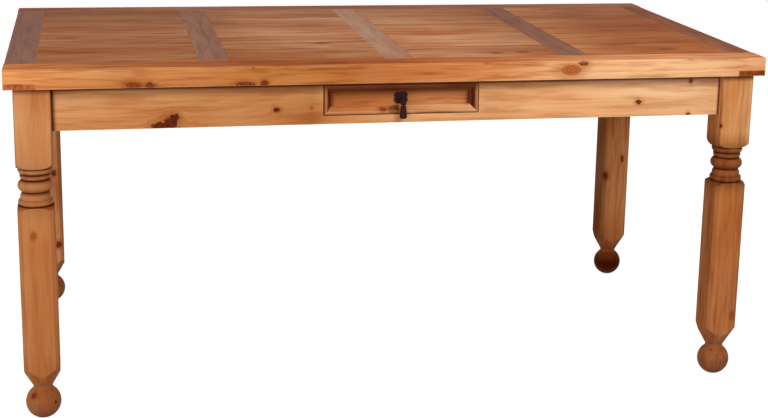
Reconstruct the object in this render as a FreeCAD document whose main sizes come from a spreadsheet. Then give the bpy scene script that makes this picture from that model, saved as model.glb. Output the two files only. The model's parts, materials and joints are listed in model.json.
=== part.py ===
import FreeCAD, Part
import math
import os

import Sketcher
from FreeCAD import Rotation, Vector

# Tavern table in pine: +Z up, front towards -Y, origin on the floor under the middle of the top.
# All sizes are in millimetres.

DIMENSIONS = [
    # Table top
    ("table_height", 762, "floor to the top surface"),
    ("top_length", 1640, "whole top along X"),
    ("top_width", 880, "whole top along Y"),
    ("top_thickness", 41, "rails of the top"),
    ("long_rail_width", 70, "front and rear rails"),
    ("end_rail_width", 63, "left and right rails"),
    ("cross_rail_width", 63, "rails between the panels"),
    ("corner_lap", 12.5, "end rail's tongue under the long rail"),
    ("edge_round", 3, "rounding of the outer top edges"),
    ("boards_per_panel", 5, "boards side by side in one panel"),
    ("board_thickness", 28, "panel boards, flush with the top"),
    ("board_gap", 0.5, "open joint round each board"),
    ("tongue_length", 9, "board ends and cross rail ends in the rail grooves"),
    ("tongue_thickness", 9, "tongues of boards and cross rails"),
    ("edge_tongue", 6, "tongue between two boards"),
    ("groove_spare", 1, "room at the bottom of a groove or mortise"),
    ("joint_gap", 0.15, "room on each side of a tongue or tenon"),
    # Legs
    ("side_overhang", 17.5, "end of the top past the legs"),
    ("front_overhang", 19, "front of the top past the legs"),
    ("leg_size", 74, "square blank of a leg"),
    ("upper_arris", 2, "eased corners of the upper block"),
    ("lower_chamfer", 7, "chamfered corners of the lower block"),
    ("upper_block", 152, "square length under the top, at the corners"),
    ("shoulder_height", 18, "turned shoulder at each block"),
    ("shoulder_bulge", 5.3, "swell of the turned shoulders"),
    ("upper_neck", 33, "radius under the upper shoulder"),
    ("first_bead", 14, "height of the first bead"),
    ("first_bead_bulge", 3.3, "swell of the first bead"),
    ("first_notch", 30, "radius under the first bead"),
    ("second_bead", 12.5, "height of the second bead"),
    ("second_bead_bulge", 2.5, "swell of the second bead"),
    ("ring_neck", 27, "radius above and under the ring"),
    ("ring_height", 25.5, "height of the fat ring"),
    ("ring_bulge", 9, "swell of the ring"),
    ("collar_cove", 7, "height of the slope into the collar"),
    ("collar_height", 8, "height of the straight collar"),
    ("collar_top", 31, "radius at the collar's top"),
    ("collar_base", 31.5, "radius at the collar's base"),
    ("last_bead", 14, "height of the last bead"),
    ("last_bead_bulge", 3.7, "swell of the last bead"),
    ("lower_neck", 33, "radius above the lower shoulder"),
    ("ankle_neck", 6.4, "straight neck above the ball"),
    ("ankle_radius", 20.4, "neck above the ball"),
    ("taper_slope", 1.74, "rise of the taper for each millimetre of radius"),
    ("ball_radius", 36.8, "ball foot"),
    ("foot_flat", 11.4, "radius of the flat under the ball"),
    # Aprons and braces
    ("apron_thickness", 22, "all four aprons"),
    ("apron_setback", 15.5, "apron face behind the leg face"),
    ("tenon_length", 28, "apron tenons in the legs"),
    ("tenon_thickness", 12, "apron tenons"),
    ("tenon_shoulder", 12, "apron above and below its tenon"),
    ("brace_thickness", 24, "diagonal corner braces"),
    ("brace_height", 60, "diagonal corner braces"),
    ("brace_drop", 8, "top of a brace below the top of the aprons"),
    ("brace_gap", 3, "brace to the leg's inner corner"),
    # Screws
    ("screw_radius", 2.4, "shank of every wood screw"),
    ("screw_head_radius", 4.6, "head of every wood screw"),
    ("screw_head_height", 3, "head of every wood screw"),
    ("screw_gap", 0.15, "room round a screw"),
    ("screw_bite", 22, "top screw in a rail"),
    ("screw_seat", 30, "head seat of a top screw below the top of the apron"),
    ("screw_from_leg", 90, "top screw to the leg's inner face"),
    ("screw_from_drawer", 90, "top screw to the drawer opening"),
    ("brace_screw_length", 23, "brace screws under the head"),
    ("brace_screw_seat", 8, "wood under a brace screw's head"),
    ("brace_screw_inset", 15, "brace screws to the brace's top and bottom"),
    ("lap_screw_length", 26, "corner lap screws under the head"),
    ("lap_screw_offset", 12, "corner lap screws off the middle of the lap"),
    ("rail_screw_length", 24, "screws of kicker and guides under the head"),
    ("rail_screw_inset", 40, "screws of kicker and guides from their ends"),
    # Drawer opening and what carries the drawer
    ("opening_width", 340, "cut-out in the front apron"),
    ("opening_height", 66, "cut-out in the front apron"),
    ("strip_below", 17.5, "apron left below the cut-out"),
    ("strip_above", 9.5, "apron left above the cut-out"),
    ("runner_thickness", 14, "runners under the drawer sides"),
    ("runner_lip", 20, "runner inside the edge of the opening"),
    ("runner_housing", 6, "runner ends let into the aprons"),
    ("guide_thickness", 16, "guides beside the drawer"),
    ("guide_height", 40, "guides beside the drawer"),
    ("kicker_width", 40, "batten above the drawer"),
    ("kicker_beyond", 60, "kicker past the closed drawer"),
    ("stop_width", 30, "opening stop, across"),
    ("stop_depth", 20, "both kinds of stop, front to back"),
    ("stop_drop", 14, "opening stop below the kicker"),
    ("stop_gap", 1, "opening stop behind the closed drawer front"),
    ("rear_stop_height", 20, "closing stops on the runners"),
    # Drawer
    ("drawer_gap", 1.5, "gap round the drawer front"),
    ("drawer_setback", 0.5, "drawer front behind the apron face"),
    ("drawer_length", 380, "front to back"),
    ("drawer_play", 2, "drawer side to the guide"),
    ("running_gap", 0.3, "sliding faces of the drawer"),
    ("frame_depth", 16, "frame strips on the drawer front"),
    ("frame_flat", 6.5, "flat face of a frame strip"),
    ("frame_bevel", 9.5, "sloping face of a frame strip"),
    ("frame_fillet", 2, "square inner edge of a frame strip"),
    ("front_board", 12, "board behind the frame strips"),
    ("side_thickness", 12, "drawer sides and back"),
    ("side_drop", 4, "drawer sides below the top of the front"),
    ("side_tongue", 6, "thickness of the sides' front tongues"),
    ("side_tongue_inset", 4, "tongue short of the side's edges"),
    ("bottom_thickness", 6, "drawer bottom"),
    ("bottom_lift", 5, "drawer bottom above the sides' lower edge"),
    ("drawer_groove", 5, "depth of the grooves in the drawer"),
    ("back_inset", 6, "drawer back from the sides' rear ends"),
    ("nail_radius", 1, "drawer nails"),
    ("nail_head_radius", 2, "drawer nails"),
    ("nail_head_height", 1, "drawer nails"),
    ("nail_length", 26, "drawer nails under the head"),
    ("nail_inset", 14, "side nails from the edges of the back"),
    ("floor_nail_step", 100, "nails in the drawer bottom, apart"),
    # Pull
    ("plate_width", 30, "iron back plate"),
    ("plate_margin", 2, "half the plate's spare room between the frame strips"),
    ("plate_lift", 1.5, "middle of the plate above the middle of the drawer"),
    ("plate_thickness", 3, "iron back plate"),
    ("plate_corner", 5, "hollow corners of the plate"),
    ("plate_notch", 2.4, "side notches of the plate"),
    ("post_drop", 6, "post below the middle of the plate"),
    ("post_radius", 4, "post between plate and fork"),
    ("collar_radius", 6, "post's collar on the plate"),
    ("collar_thickness", 2.5, "post's collar on the plate"),
    ("shank_radius", 2.5, "post's threaded shank"),
    ("shank_gap", 0.2, "shank in the plate and the drawer front"),
    ("pull_reach", 15.5, "pivot in front of the apron face"),
    ("ear_thickness", 3.2, "each ear of the fork"),
    ("fork_radius", 4.8, "round ends of the ears"),
    ("fork_web", 2, "fork behind its slot"),
    ("eye_play", 0.3, "eye to each ear"),
    ("slot_room", 1.1, "slot behind the eye"),
    ("pin_radius", 1.6, "pivot pin"),
    ("pin_gap", 0.05, "pin in the ears and in the eye"),
    ("eye_radius", 4.5, "eye of the drop"),
    ("eye_thickness", 4, "eye of the drop"),
    ("neck_width", 6, "drop between eye and bell"),
    ("bell_room", 2, "bell's top below the ears"),
    ("bell_top_radius", 5.6, "bell at its top"),
    ("bell_radius", 7.9, "bell at its fullest"),
    ("bell_flare", 23.2, "length of the bell's slope"),
    ("bell_cap", 4.5, "height of the bell's rounded bottom"),
    ("bell_cap_bulge", 1, "swell of the bell's rounded bottom"),
    ("bell_foot", 4.5, "flat spot under the bell"),
    ("washer_radius", 6, "washer inside the drawer"),
    ("washer_thickness", 1.2, "washer inside the drawer"),
    ("nut_size", 8, "hexagon nut across flats"),
    ("nut_thickness", 4, "hexagon nut"),
    ("shank_end", 2, "shank past the nut"),
]

doc = FreeCAD.newDocument("tavern_table")
sheet = doc.addObject("Spreadsheet::Sheet", "dims")
for row, (alias, value, note) in enumerate(DIMENSIONS, start=1):
    sheet.set(f"A{row}", note)
    sheet.set(f"B{row}", str(value))
    sheet.setAlias(f"B{row}", alias)
doc.recompute()

# Places worked out from the sizes, as expressions on the sheet
HALF_LENGTH = "dims.top_length / 2"
HALF_WIDTH = "dims.top_width / 2"
UNDER_TOP = "(dims.table_height - dims.top_thickness)"
INNER_X = "(dims.top_length / 2 - dims.end_rail_width)"
INNER_Y = "(dims.top_width / 2 - dims.long_rail_width)"
PANEL = "((dims.top_length - 2 * dims.end_rail_width - 3 * dims.cross_rail_width) / 4)"
TONGUE_Z = "(dims.table_height - dims.board_thickness / 2 - dims.tongue_thickness / 2)"
LEG_FACE_X = "(dims.top_length / 2 - dims.side_overhang)"
LEG_FACE_Y = "(dims.top_width / 2 - dims.front_overhang)"
LEG_INNER_X = f"({LEG_FACE_X} - dims.leg_size)"
LEG_INNER_Y = f"({LEG_FACE_Y} - dims.leg_size)"
FACE_X = f"({LEG_FACE_X} - dims.apron_setback)"
FACE_Y = f"({LEG_FACE_Y} - dims.apron_setback)"
INSIDE_X = f"({FACE_X} - dims.apron_thickness)"
INSIDE_Y = f"({FACE_Y} - dims.apron_thickness)"
APRON_HEIGHT = "(dims.strip_below + dims.opening_height + dims.strip_above)"
APRON_BOTTOM = f"({UNDER_TOP} - {APRON_HEIGHT})"
TENON_HEIGHT = f"({APRON_HEIGHT} - 2 * dims.tenon_shoulder)"
BRACE_NEAR = "(2 * (dims.leg_size - dims.apron_setback - dims.apron_thickness) + dims.brace_gap * sqrt(2))"
BRACE_MIDDLE = f"({BRACE_NEAR} + dims.brace_thickness / sqrt(2))"
BRACE_FAR = f"({BRACE_NEAR} + dims.brace_thickness * sqrt(2))"
OPENING_BOTTOM = f"({APRON_BOTTOM} + dims.strip_below)"
OPENING_TOP = f"({OPENING_BOTTOM} + dims.opening_height)"
OPENING_HALF = "dims.opening_width / 2"
DRAWER_FACE = f"(-{FACE_Y} + dims.drawer_setback)"
DRAWER_END = f"({DRAWER_FACE} + dims.drawer_length)"
BOARD_FACE = f"({DRAWER_FACE} + dims.frame_depth)"
BOARD_BACK = f"({BOARD_FACE} + dims.front_board)"
FRONT_HALF = "(dims.opening_width / 2 - dims.drawer_gap)"
FRONT_BOTTOM = f"({OPENING_BOTTOM} + dims.drawer_gap)"
FRONT_HEIGHT = "(dims.opening_height - 2 * dims.drawer_gap)"
SIDE_OUTER = "(dims.opening_width / 2 - dims.drawer_play)"
SIDE_INNER = f"({SIDE_OUTER} - dims.side_thickness)"
SIDE_BOTTOM = f"({OPENING_BOTTOM} + dims.running_gap)"
SIDE_TOP = f"({FRONT_BOTTOM} + {FRONT_HEIGHT} - dims.side_drop)"
BOTTOM_Z = f"({SIDE_BOTTOM} + dims.bottom_lift)"
BOTTOM_TOP = f"({BOTTOM_Z} + dims.bottom_thickness)"
BACK_REAR = f"({DRAWER_END} - dims.back_inset)"
BACK_FRONT = f"({BACK_REAR} - dims.side_thickness)"
PLATE_Z = f"({FRONT_BOTTOM} + {FRONT_HEIGHT} / 2 + dims.plate_lift)"
POST_Z = f"({PLATE_Z} - dims.post_drop)"
PLATE_FACE = f"({BOARD_FACE} - dims.plate_thickness)"
PLATE_HEIGHT = f"({FRONT_HEIGHT} - 2 * (dims.frame_flat + dims.frame_bevel + dims.plate_margin))"
PIVOT_Y = f"(-{FACE_Y} - dims.pull_reach)"
SLOT_WIDTH = "(dims.eye_thickness + 2 * dims.eye_play)"
SLOT_DEPTH = "(dims.eye_radius + dims.slot_room)"
FORK_WIDTH = f"({SLOT_WIDTH} + 2 * dims.ear_thickness)"
BELL_START = "(dims.fork_radius + dims.bell_room)"

# Each corner's quarter turn about Z and its side along X and Y
CORNERS = {
    "front_left": (0, -1, -1),
    "front_right": (90, 1, -1),
    "rear_right": (180, 1, 1),
    "rear_left": (270, -1, 1),
}
WAYS = {
    "+x": Vector(1, 0, 0),
    "-x": Vector(-1, 0, 0),
    "+y": Vector(0, 1, 0),
    "-y": Vector(0, -1, 0),
    "+z": Vector(0, 0, 1),
}
nodes = {}


def number(text):
    """Value of an expression on the sheet."""
    return float(sheet.evalExpression(text))


def bind(item, **sizes):
    """Tie an object's properties to expressions."""
    for name, text in sizes.items():
        item.setExpression(name, text)
    return item


def place(item, x, y, z="0", turn=0):
    """Put an object at a point, turned about Z by so many degrees."""
    item.Placement = FreeCAD.Placement(Vector(), Rotation(Vector(0, 0, 1), turn))
    for axis, text in zip("xyz", (x, y, z)):
        item.setExpression(f"Placement.Base.{axis}", text)
    return item


def keep(node, item):
    """Name the object that is a finished piece."""
    item.Label = node
    nodes[node] = item
    return item


def box(x, y, z):
    """Box from three pairs of low side and size."""
    item = doc.addObject("Part::Box", "Block")
    bind(item, Length=x[1], Width=y[1], Height=z[1])
    return place(item, x[0], y[0], z[0])


def between(low, high):
    """Low side and size of a stretch from low to high."""
    return (low, f"({high}) - ({low})")


def middle(half):
    """Low side and size of a stretch centred on zero."""
    return (f"-({half})", f"2 * ({half})")


def eased(stretch):
    """Stretch made wider at both ends by the room that a joint needs."""
    return (f"{stretch[0]} - dims.joint_gap", f"{stretch[1]} + 2 * dims.joint_gap")


def side(sign, near, size):
    """Low side and size of a stretch that starts at near and runs outwards on one side."""
    return (near, size) if sign > 0 else (f"-({near}) - ({size})", size)


def shifted(point, way, distance):
    """Point moved along one of the ways by a distance."""
    axis = "xyz".index(way[1])
    moved = list(point)
    moved[axis] = f"({point[axis]}) {way[0]} ({distance})"
    return tuple(moved)


def rod(start, way, length, radius):
    """Cylinder from a point along one of the ways."""
    item = doc.addObject("Part::Cylinder", "Rod")
    bind(item, Height=length, Radius=radius)
    place(item, *start)
    item.Placement.Rotation = Rotation(Vector(0, 0, 1), WAYS[way])
    return item


def fuse(items):
    """One solid from several that meet."""
    if len(items) == 1:
        return items[0]
    item = doc.addObject("Part::MultiFuse", "Joined")
    item.Shapes = items
    item.Refine = True
    return item


def cut(base, tools):
    """Base with the tools taken away."""
    item = doc.addObject("Part::Cut", "Shaped")
    item.Base = base
    item.Tool = fuse(tools)
    return item


def group(items):
    """Several separate solids as one object."""
    item = doc.addObject("Part::Compound", "Group")
    item.Links = items
    return item


def screw(seat, way, length):
    """Wood screw whose head bears on the seat and whose shank runs along the way."""
    head = rod(shifted(seat, way, "-dims.screw_head_height"), way,
               "dims.screw_head_height", "dims.screw_head_radius")
    return fuse([head, rod(seat, way, length, "dims.screw_radius")])


def screw_hole(seat, way, length, sink):
    """Room for a screw: a bore past its tip and a sink for its head."""
    bore = rod(shifted(seat, way, "-dims.screw_head_height"), way,
               f"{length} + dims.screw_head_height + dims.groove_spare", "dims.screw_radius + dims.screw_gap")
    head_room = rod(shifted(seat, way, f"-({sink})"), way, sink, "dims.screw_head_radius + dims.screw_gap")
    return fuse([bore, head_room])


def left_arc(start, stop, radius):
    """Arc from start to stop that bulges to the left of the way."""
    half = (stop - start) * 0.5
    right = Vector(half.y, -half.x, 0).normalize()
    centre = start + half + right * math.sqrt(radius ** 2 - half.Length ** 2)
    first = math.atan2(stop.y - centre.y, stop.x - centre.x)
    last = math.atan2(start.y - centre.y, start.x - centre.x)
    if last < first:
        last += 2 * math.pi
    return Part.ArcOfCircle(Part.Circle(centre, Vector(0, 0, 1), radius), first, last)


def swell(start, stop, bulge):
    """Radius of an arc between two points that stands out from the straight line by the bulge."""
    chord = " + ".join(f"({far} - ({near})) ^ 2" for near, far in zip(start, stop))
    return f"(({chord}) / (8 * {bulge}) + {bulge} / 2)"


def outline(body, plane, points, rounds=None):
    """Closed sketch through points given as pairs of expressions.

    rounds gives the radius of a side that is an arc, bulging to the left of the way round,
    by the number of the side's first point.
    """
    rounds = rounds or {}
    sketch = body.newObject("Sketcher::SketchObject", "Outline")
    support = [item for item in body.Origin.OriginFeatures if item.Role == plane]
    sketch.AttachmentSupport = [(support[0], "")]
    sketch.MapMode = "FlatFace"
    corners = [Vector(number(x), number(y), 0) for x, y in points]
    ends = []
    for index, start in enumerate(corners):
        stop = corners[(index + 1) % len(corners)]
        if index in rounds:
            sketch.addGeometry(left_arc(start, stop, number(rounds[index])))
            ends.append((2, 1))
        else:
            sketch.addGeometry(Part.LineSegment(start, stop))
            ends.append((1, 2))
    for index, point in enumerate(points):
        after = (index + 1) % len(points)
        for kind, text in zip(("DistanceX", "DistanceY"), point):
            rule = Sketcher.Constraint(kind, -1, 1, index, ends[index][0], number(text))
            sketch.setExpression(f"Constraints[{sketch.addConstraint(rule)}]", text)
        sketch.addConstraint(Sketcher.Constraint("Coincident", index, ends[index][1], after, ends[after][0]))
        if index in rounds:
            rule = Sketcher.Constraint("Radius", index, number(rounds[index]))
            sketch.setExpression(f"Constraints[{sketch.addConstraint(rule)}]", rounds[index])
    return sketch


def pad(body, sketch, length):
    """Solid raised from a sketch."""
    item = body.newObject("PartDesign::Pad", "Raised")
    item.Profile = sketch
    return bind(item, Length=length)


def turned(body, sketch, kind):
    """Full turn of a sketch about its upright axis, added or cut away."""
    item = body.newObject(kind, "Turned")
    item.Profile = sketch
    item.ReferenceAxis = (sketch, ["V_Axis"])
    item.Angle = 360
    return item


# Top frame and panels
def tongue_groove(x, y):
    """Room for a tongue of the top between two stretches."""
    return box(x, y, eased((TONGUE_Z, "dims.tongue_thickness")))


def lap_screws(half_length, half_width, tools):
    """Corner lap screws of one rail, as seats or as room for them."""
    made = []
    for end in (-1, 1):
        for step in (-1, 1):
            x = f"{end} * ({half_length} + {step} * dims.lap_screw_offset)"
            y = f"{half_width} - {step} * dims.lap_screw_offset"
            seat = (x, y, f"{UNDER_TOP} + dims.screw_head_height")
            made.append(tools(seat))
    return made


def lap_hole(seat):
    """Room for one corner lap screw."""
    return screw_hole(seat, "+z", "dims.lap_screw_length", "dims.screw_head_height")


def pilot(x, y):
    """Room in a rail for a screw that comes up through the apron."""
    return rod((x, y, UNDER_TOP), "+z", "dims.screw_bite + dims.groove_spare",
               "dims.screw_radius + dims.screw_gap")


def rounded_rail(half_length, width):
    """Rail with its outer top edge rounded, from its outer edge at y = 0 inwards."""
    body = doc.addObject("PartDesign::Body", "Rail")
    top = "dims.table_height"
    low_edge = f"{top} - dims.edge_round"
    corners = [("0", low_edge), ("0", UNDER_TOP), (width, UNDER_TOP), (width, top), ("dims.edge_round", top)]
    raised = pad(body, outline(body, "YZ_Plane", corners, {4: "dims.edge_round"}), f"2 * ({half_length})")
    raised.Midplane = True
    return body


def top_rail(node, turn, x, y, half_length, width, other_width, half_opening, lap, holes):
    """One outer rail of the top, lapped at both ends and grooved on its inner edge."""
    laps = []
    for end in (-1, 1):
        laps.append(box(side(end, f"{half_length} - {other_width}", other_width), ("0", width), lap))
    inside = f"{width} - dims.tongue_length - dims.groove_spare"
    grooves = [tongue_groove(middle(half_opening), (inside, "dims.tongue_length + dims.groove_spare"))]
    seats = lap_screws(f"{half_length} - {other_width} / 2", f"{width} / 2", lap_hole)
    rail = cut(rounded_rail(half_length, width), laps + grooves + seats + holes)
    return keep(node, place(rail, x, y, "0", turn))


LONG_SCREWS = [f"{LEG_INNER_X} - dims.screw_from_leg", f"{OPENING_HALF} + dims.screw_from_drawer"]
SHORT_SCREWS = [f"{LEG_INNER_Y} - dims.screw_from_leg"]


def both_sides(places):
    """Places on the left and on the right."""
    return [f"{sign} * ({text})" for text in places for sign in (-1, 1)]


def make_top():
    """Rails, cross rails and panel boards."""
    apron_line = "dims.apron_setback + dims.apron_thickness / 2"
    upper = (f"{UNDER_TOP} + dims.corner_lap", "dims.top_thickness - dims.corner_lap")
    lower = (UNDER_TOP, "dims.corner_lap")
    long_y = f"dims.front_overhang + {apron_line}"
    end_y = f"dims.side_overhang + {apron_line}"
    for node, turn, sign in (("front_top_rail", 0, -1), ("rear_top_rail", 180, 1)):
        holes = [pilot(x, long_y) for x in both_sides(LONG_SCREWS)]
        top_rail(node, turn, "0", f"{sign} * {HALF_WIDTH}", HALF_LENGTH, "dims.long_rail_width",
                 "dims.end_rail_width", INNER_X, lower, holes)
    for node, turn, sign in (("left_end_rail", 270, -1), ("right_end_rail", 90, 1)):
        holes = [pilot(y, end_y) for y in both_sides(SHORT_SCREWS)]
        top_rail(node, turn, f"{sign} * {HALF_LENGTH}", "0", HALF_WIDTH, "dims.end_rail_width",
                 "dims.long_rail_width", INNER_Y, upper, holes)
    for index, name in enumerate(("left", "middle", "right")):
        cross_rail(f"{name}_cross_rail", f"{index - 1} * ({PANEL} + dims.cross_rail_width)", index == 1)
    for index, name in enumerate(("left", "left_middle", "right_middle", "right")):
        start = f"(-{INNER_X} + {index} * ({PANEL} + dims.cross_rail_width))"
        panel_boards(f"{name}_panel_boards", start)
    screws = []
    for sign in (-1, 1):
        for seat in lap_screws(f"{HALF_LENGTH} - dims.end_rail_width / 2", "dims.long_rail_width / 2", tuple):
            seat = (seat[0], f"{sign} * ({HALF_WIDTH} - ({seat[1]}))", seat[2])
            screws.append(screw(seat, "+z", "dims.lap_screw_length"))
    keep("corner_lap_screws", group(screws))


def cross_rail(node, x, over_kicker):
    """Rail across the top with a groove on each edge and a stub tongue at each end."""
    width = "dims.cross_rail_width"
    depth = "dims.tongue_length + dims.groove_spare"
    blank = box(middle(f"{width} / 2"), middle(INNER_Y), (UNDER_TOP, "dims.top_thickness"))
    tongues = box(middle(f"{width} / 2"), middle(f"{INNER_Y} + dims.tongue_length"),
                  (TONGUE_Z, "dims.tongue_thickness"))
    along = middle(f"{INNER_Y} + dims.tongue_length + dims.groove_spare")
    tools = [tongue_groove(side(sign, f"{width} / 2 - ({depth})", depth), along) for sign in (-1, 1)]
    if over_kicker:
        tools += [slide_hole(seat) for seat in kicker_seats()]
    return keep(node, place(cut(fuse([blank, tongues]), tools), x, "0"))


def panel_boards(node, start):
    """Boards of one panel, tongued into the rails and into each other."""
    count = round(number("dims.boards_per_panel"))
    pitch = f"(2 * {INNER_Y} / {count})"
    gap = "dims.board_gap"
    length = f"{PANEL} - 2 * {gap}"
    boards = []
    for index in range(count):
        front = f"(-{INNER_Y} + {index} * {pitch} + {gap} / 2)"
        width = f"({pitch} - {gap})"
        thickness = ("dims.table_height - dims.board_thickness", "dims.board_thickness")
        tongue = (TONGUE_Z, "dims.tongue_thickness")
        ends = (f"-dims.tongue_length + {gap}", f"{PANEL} + 2 * dims.tongue_length - 2 * {gap}")
        first = "dims.tongue_length" if index == 0 else "0"
        last = "dims.tongue_length" if index == count - 1 else "dims.edge_tongue"
        solid = fuse([
            box((gap, length), (front, width), thickness),
            box(ends, (front, width), tongue),
            box((gap, length), (f"{front} - {first}", f"{width} + {first} + {last}"), tongue),
        ])
        if index > 0:
            groove = tongue_groove(("-2 * dims.tongue_length", f"{PANEL} + 4 * dims.tongue_length"),
                                   (front, "dims.edge_tongue + dims.groove_spare"))
            solid = cut(solid, [groove])
        boards.append(solid)
    return keep(node, place(group(boards), start, "0"))


# Legs
def octagon(half, ease):
    """Square with its corners cut off, as points going round."""
    short = f"({half} - {ease})"
    return [(half, f"-{short}"), (half, short), (short, half), (f"-{short}", half),
            (f"-{half}", short), (f"-{half}", f"-{short}"), (f"-{short}", f"-{half}"), (short, f"-{half}")]


def turning_points():
    """Profile of the turned middle of a leg, from the upper block down, with its arcs."""
    outside = "dims.leg_size"
    corner = "dims.leg_size / sqrt(2)"
    steps = [
        (corner, "0", None),
        ("dims.upper_neck", "dims.shoulder_height", "dims.shoulder_bulge"),
        ("dims.first_notch", "dims.first_bead", "dims.first_bead_bulge"),
        ("dims.ring_neck", "dims.second_bead", "dims.second_bead_bulge"),
        ("dims.ring_neck", "dims.ring_height", "dims.ring_bulge"),
        ("dims.collar_top", "dims.collar_cove", None),
        ("dims.collar_base", "dims.collar_height", None),
        ("dims.lower_neck", "dims.last_bead", "dims.last_bead_bulge"),
        (corner, "dims.shoulder_height", "dims.shoulder_bulge"),
    ]
    level = f"{UNDER_TOP} - dims.upper_block"
    points = [(outside, level)]
    rounds = {}
    for radius, drop, bulge in steps:
        level = f"{level} - {drop}"
        if bulge:
            rounds[len(points) - 1] = swell(points[-1], (radius, level), bulge)
        points.append((radius, level))
    points.append((outside, level))
    return points, rounds


def foot_points():
    """Profile of the tapered ankle and the ball foot, from the block down, with its arc."""
    outside = "dims.leg_size"
    rise = f"({outside} - dims.ankle_radius) * dims.taper_slope"
    centre = "sqrt(dims.ball_radius ^ 2 - dims.foot_flat ^ 2)"
    ball_top = f"{centre} + sqrt(dims.ball_radius ^ 2 - dims.ankle_radius ^ 2)"
    points = [
        (outside, f"{ball_top} + dims.ankle_neck + {rise}"),
        ("dims.ankle_radius", f"{ball_top} + dims.ankle_neck"),
        ("dims.ankle_radius", ball_top),
        ("dims.foot_flat", "0"),
        (outside, "0"),
    ]
    return points, {2: "dims.ball_radius"}


def make_leg(node, turn, x_side, y_side):
    """One leg: square blank, turned middle, turned foot and two mortises on its inner faces."""
    body = doc.addObject("PartDesign::Body", "Leg")
    half = "dims.leg_size / 2"
    waist = (f"({UNDER_TOP} - dims.upper_block - dims.shoulder_height - dims.first_bead - dims.second_bead"
             " - dims.ring_height / 2)")
    lower = outline(body, "XY_Plane", octagon(half, "dims.lower_chamfer"))
    pad(body, lower, waist)
    upper = outline(body, "XY_Plane", octagon(half, "dims.upper_arris"))
    upper.setExpression("AttachmentOffset.Base.z", waist)
    pad(body, upper, f"{UNDER_TOP} - {waist}")
    for points, rounds in (turning_points(), foot_points()):
        turned(body, outline(body, "XZ_Plane", points, rounds), "PartDesign::Groove")
    deep = "dims.tenon_length + dims.groove_spare"
    off = "-dims.leg_size / 2 + dims.apron_setback + (dims.apron_thickness - dims.tenon_thickness) / 2"
    wide = eased((off, "dims.tenon_thickness"))
    tall = eased((f"{APRON_BOTTOM} + dims.tenon_shoulder", TENON_HEIGHT))
    inward = (f"{half} - ({deep})", deep)
    for x, y in ((inward, wide), (wide, inward)):
        mortise = body.newObject("PartDesign::SubtractiveBox", "Mortise")
        bind(mortise, Length=x[1], Width=y[1], Height=tall[1])
        place(mortise, x[0], y[0], tall[0])
    place(body, f"{x_side} * ({LEG_FACE_X} - {half})", f"{y_side} * ({LEG_FACE_Y} - {half})", "0", turn)
    return keep(node, body)


# Aprons and braces
def brace_seats():
    """Seats of the screws in one brace, in the brace's own corner, with their ways."""
    seats = []
    for level in ("dims.brace_screw_inset", "dims.brace_height - dims.brace_screw_inset"):
        z = f"{UNDER_TOP} - dims.brace_drop - ({level})"
        seats.append(((BRACE_MIDDLE, "dims.brace_screw_seat", z), "-y"))
        seats.append((("dims.brace_screw_seat", BRACE_MIDDLE, z), "-x"))
    return seats


def make_brace(node, turn, x_side, y_side):
    """Diagonal brace between two aprons behind a leg, and its screws."""
    body = doc.addObject("PartDesign::Body", "Brace")
    corners = [(BRACE_NEAR, "0"), (BRACE_FAR, "0"), ("0", BRACE_FAR), ("0", BRACE_NEAR)]
    sketch = outline(body, "XY_Plane", corners)
    sketch.setExpression("AttachmentOffset.Base.z", f"{UNDER_TOP} - dims.brace_drop - dims.brace_height")
    pad(body, sketch, "dims.brace_height")
    holes = [screw_hole(seat, way, "dims.brace_screw_length", BRACE_FAR) for seat, way in brace_seats()]
    corner = (f"{x_side} * {INSIDE_X}", f"{y_side} * {INSIDE_Y}", "0", turn)
    keep(node, place(cut(body, holes), *corner))
    screws = [screw(seat, way, "dims.brace_screw_length") for seat, way in brace_seats()]
    return place(group(screws), *corner)


def make_apron(node, turn, x, y, half_span, reach, screw_places, more_cuts):
    """One apron with its tenons, its holes and its top screws, outer face at y = 0."""
    thickness = "dims.apron_thickness"
    blank = box(middle(half_span), ("0", thickness), (APRON_BOTTOM, APRON_HEIGHT))
    tenons = box(middle(f"{half_span} + dims.tenon_length"),
                 (f"({thickness} - dims.tenon_thickness) / 2", "dims.tenon_thickness"),
                 (f"{APRON_BOTTOM} + dims.tenon_shoulder", TENON_HEIGHT))
    deep = f"{UNDER_TOP} - dims.screw_seat"
    length = "dims.screw_seat + dims.screw_bite"
    seats = [(place_x, f"{thickness} / 2", deep) for place_x in both_sides(screw_places)]
    tools = [screw_hole(seat, "+z", length, f"{APRON_HEIGHT} - dims.screw_seat") for seat in seats]
    for seat, way in brace_seats():
        if way == "-y":
            for sign in (-1, 1):
                start = (f"{sign} * ({reach} - {seat[0]})", f"{thickness} + {seat[1]}", seat[2])
                tools.append(screw_hole(start, "-y", "dims.brace_screw_length", "dims.screw_head_height"))
    apron = cut(fuse([blank, tenons]), tools + more_cuts)
    keep(node, place(apron, x, y, "0", turn))
    return place(group([screw(seat, "+z", length) for seat in seats]), x, y, "0", turn)


def runner_span(sign):
    """Stretch of one runner across the table."""
    return side(sign, f"{OPENING_HALF} - dims.runner_lip", "dims.runner_lip + dims.guide_thickness")


def runner_housings():
    """Room in an apron's inner face for the ends of both runners."""
    deep = ("dims.apron_thickness - dims.runner_housing", "dims.runner_housing")
    tall = (f"{OPENING_BOTTOM} - dims.runner_thickness", "dims.runner_thickness")
    return [box(eased(runner_span(sign)), eased(deep), eased(tall)) for sign in (-1, 1)]


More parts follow.
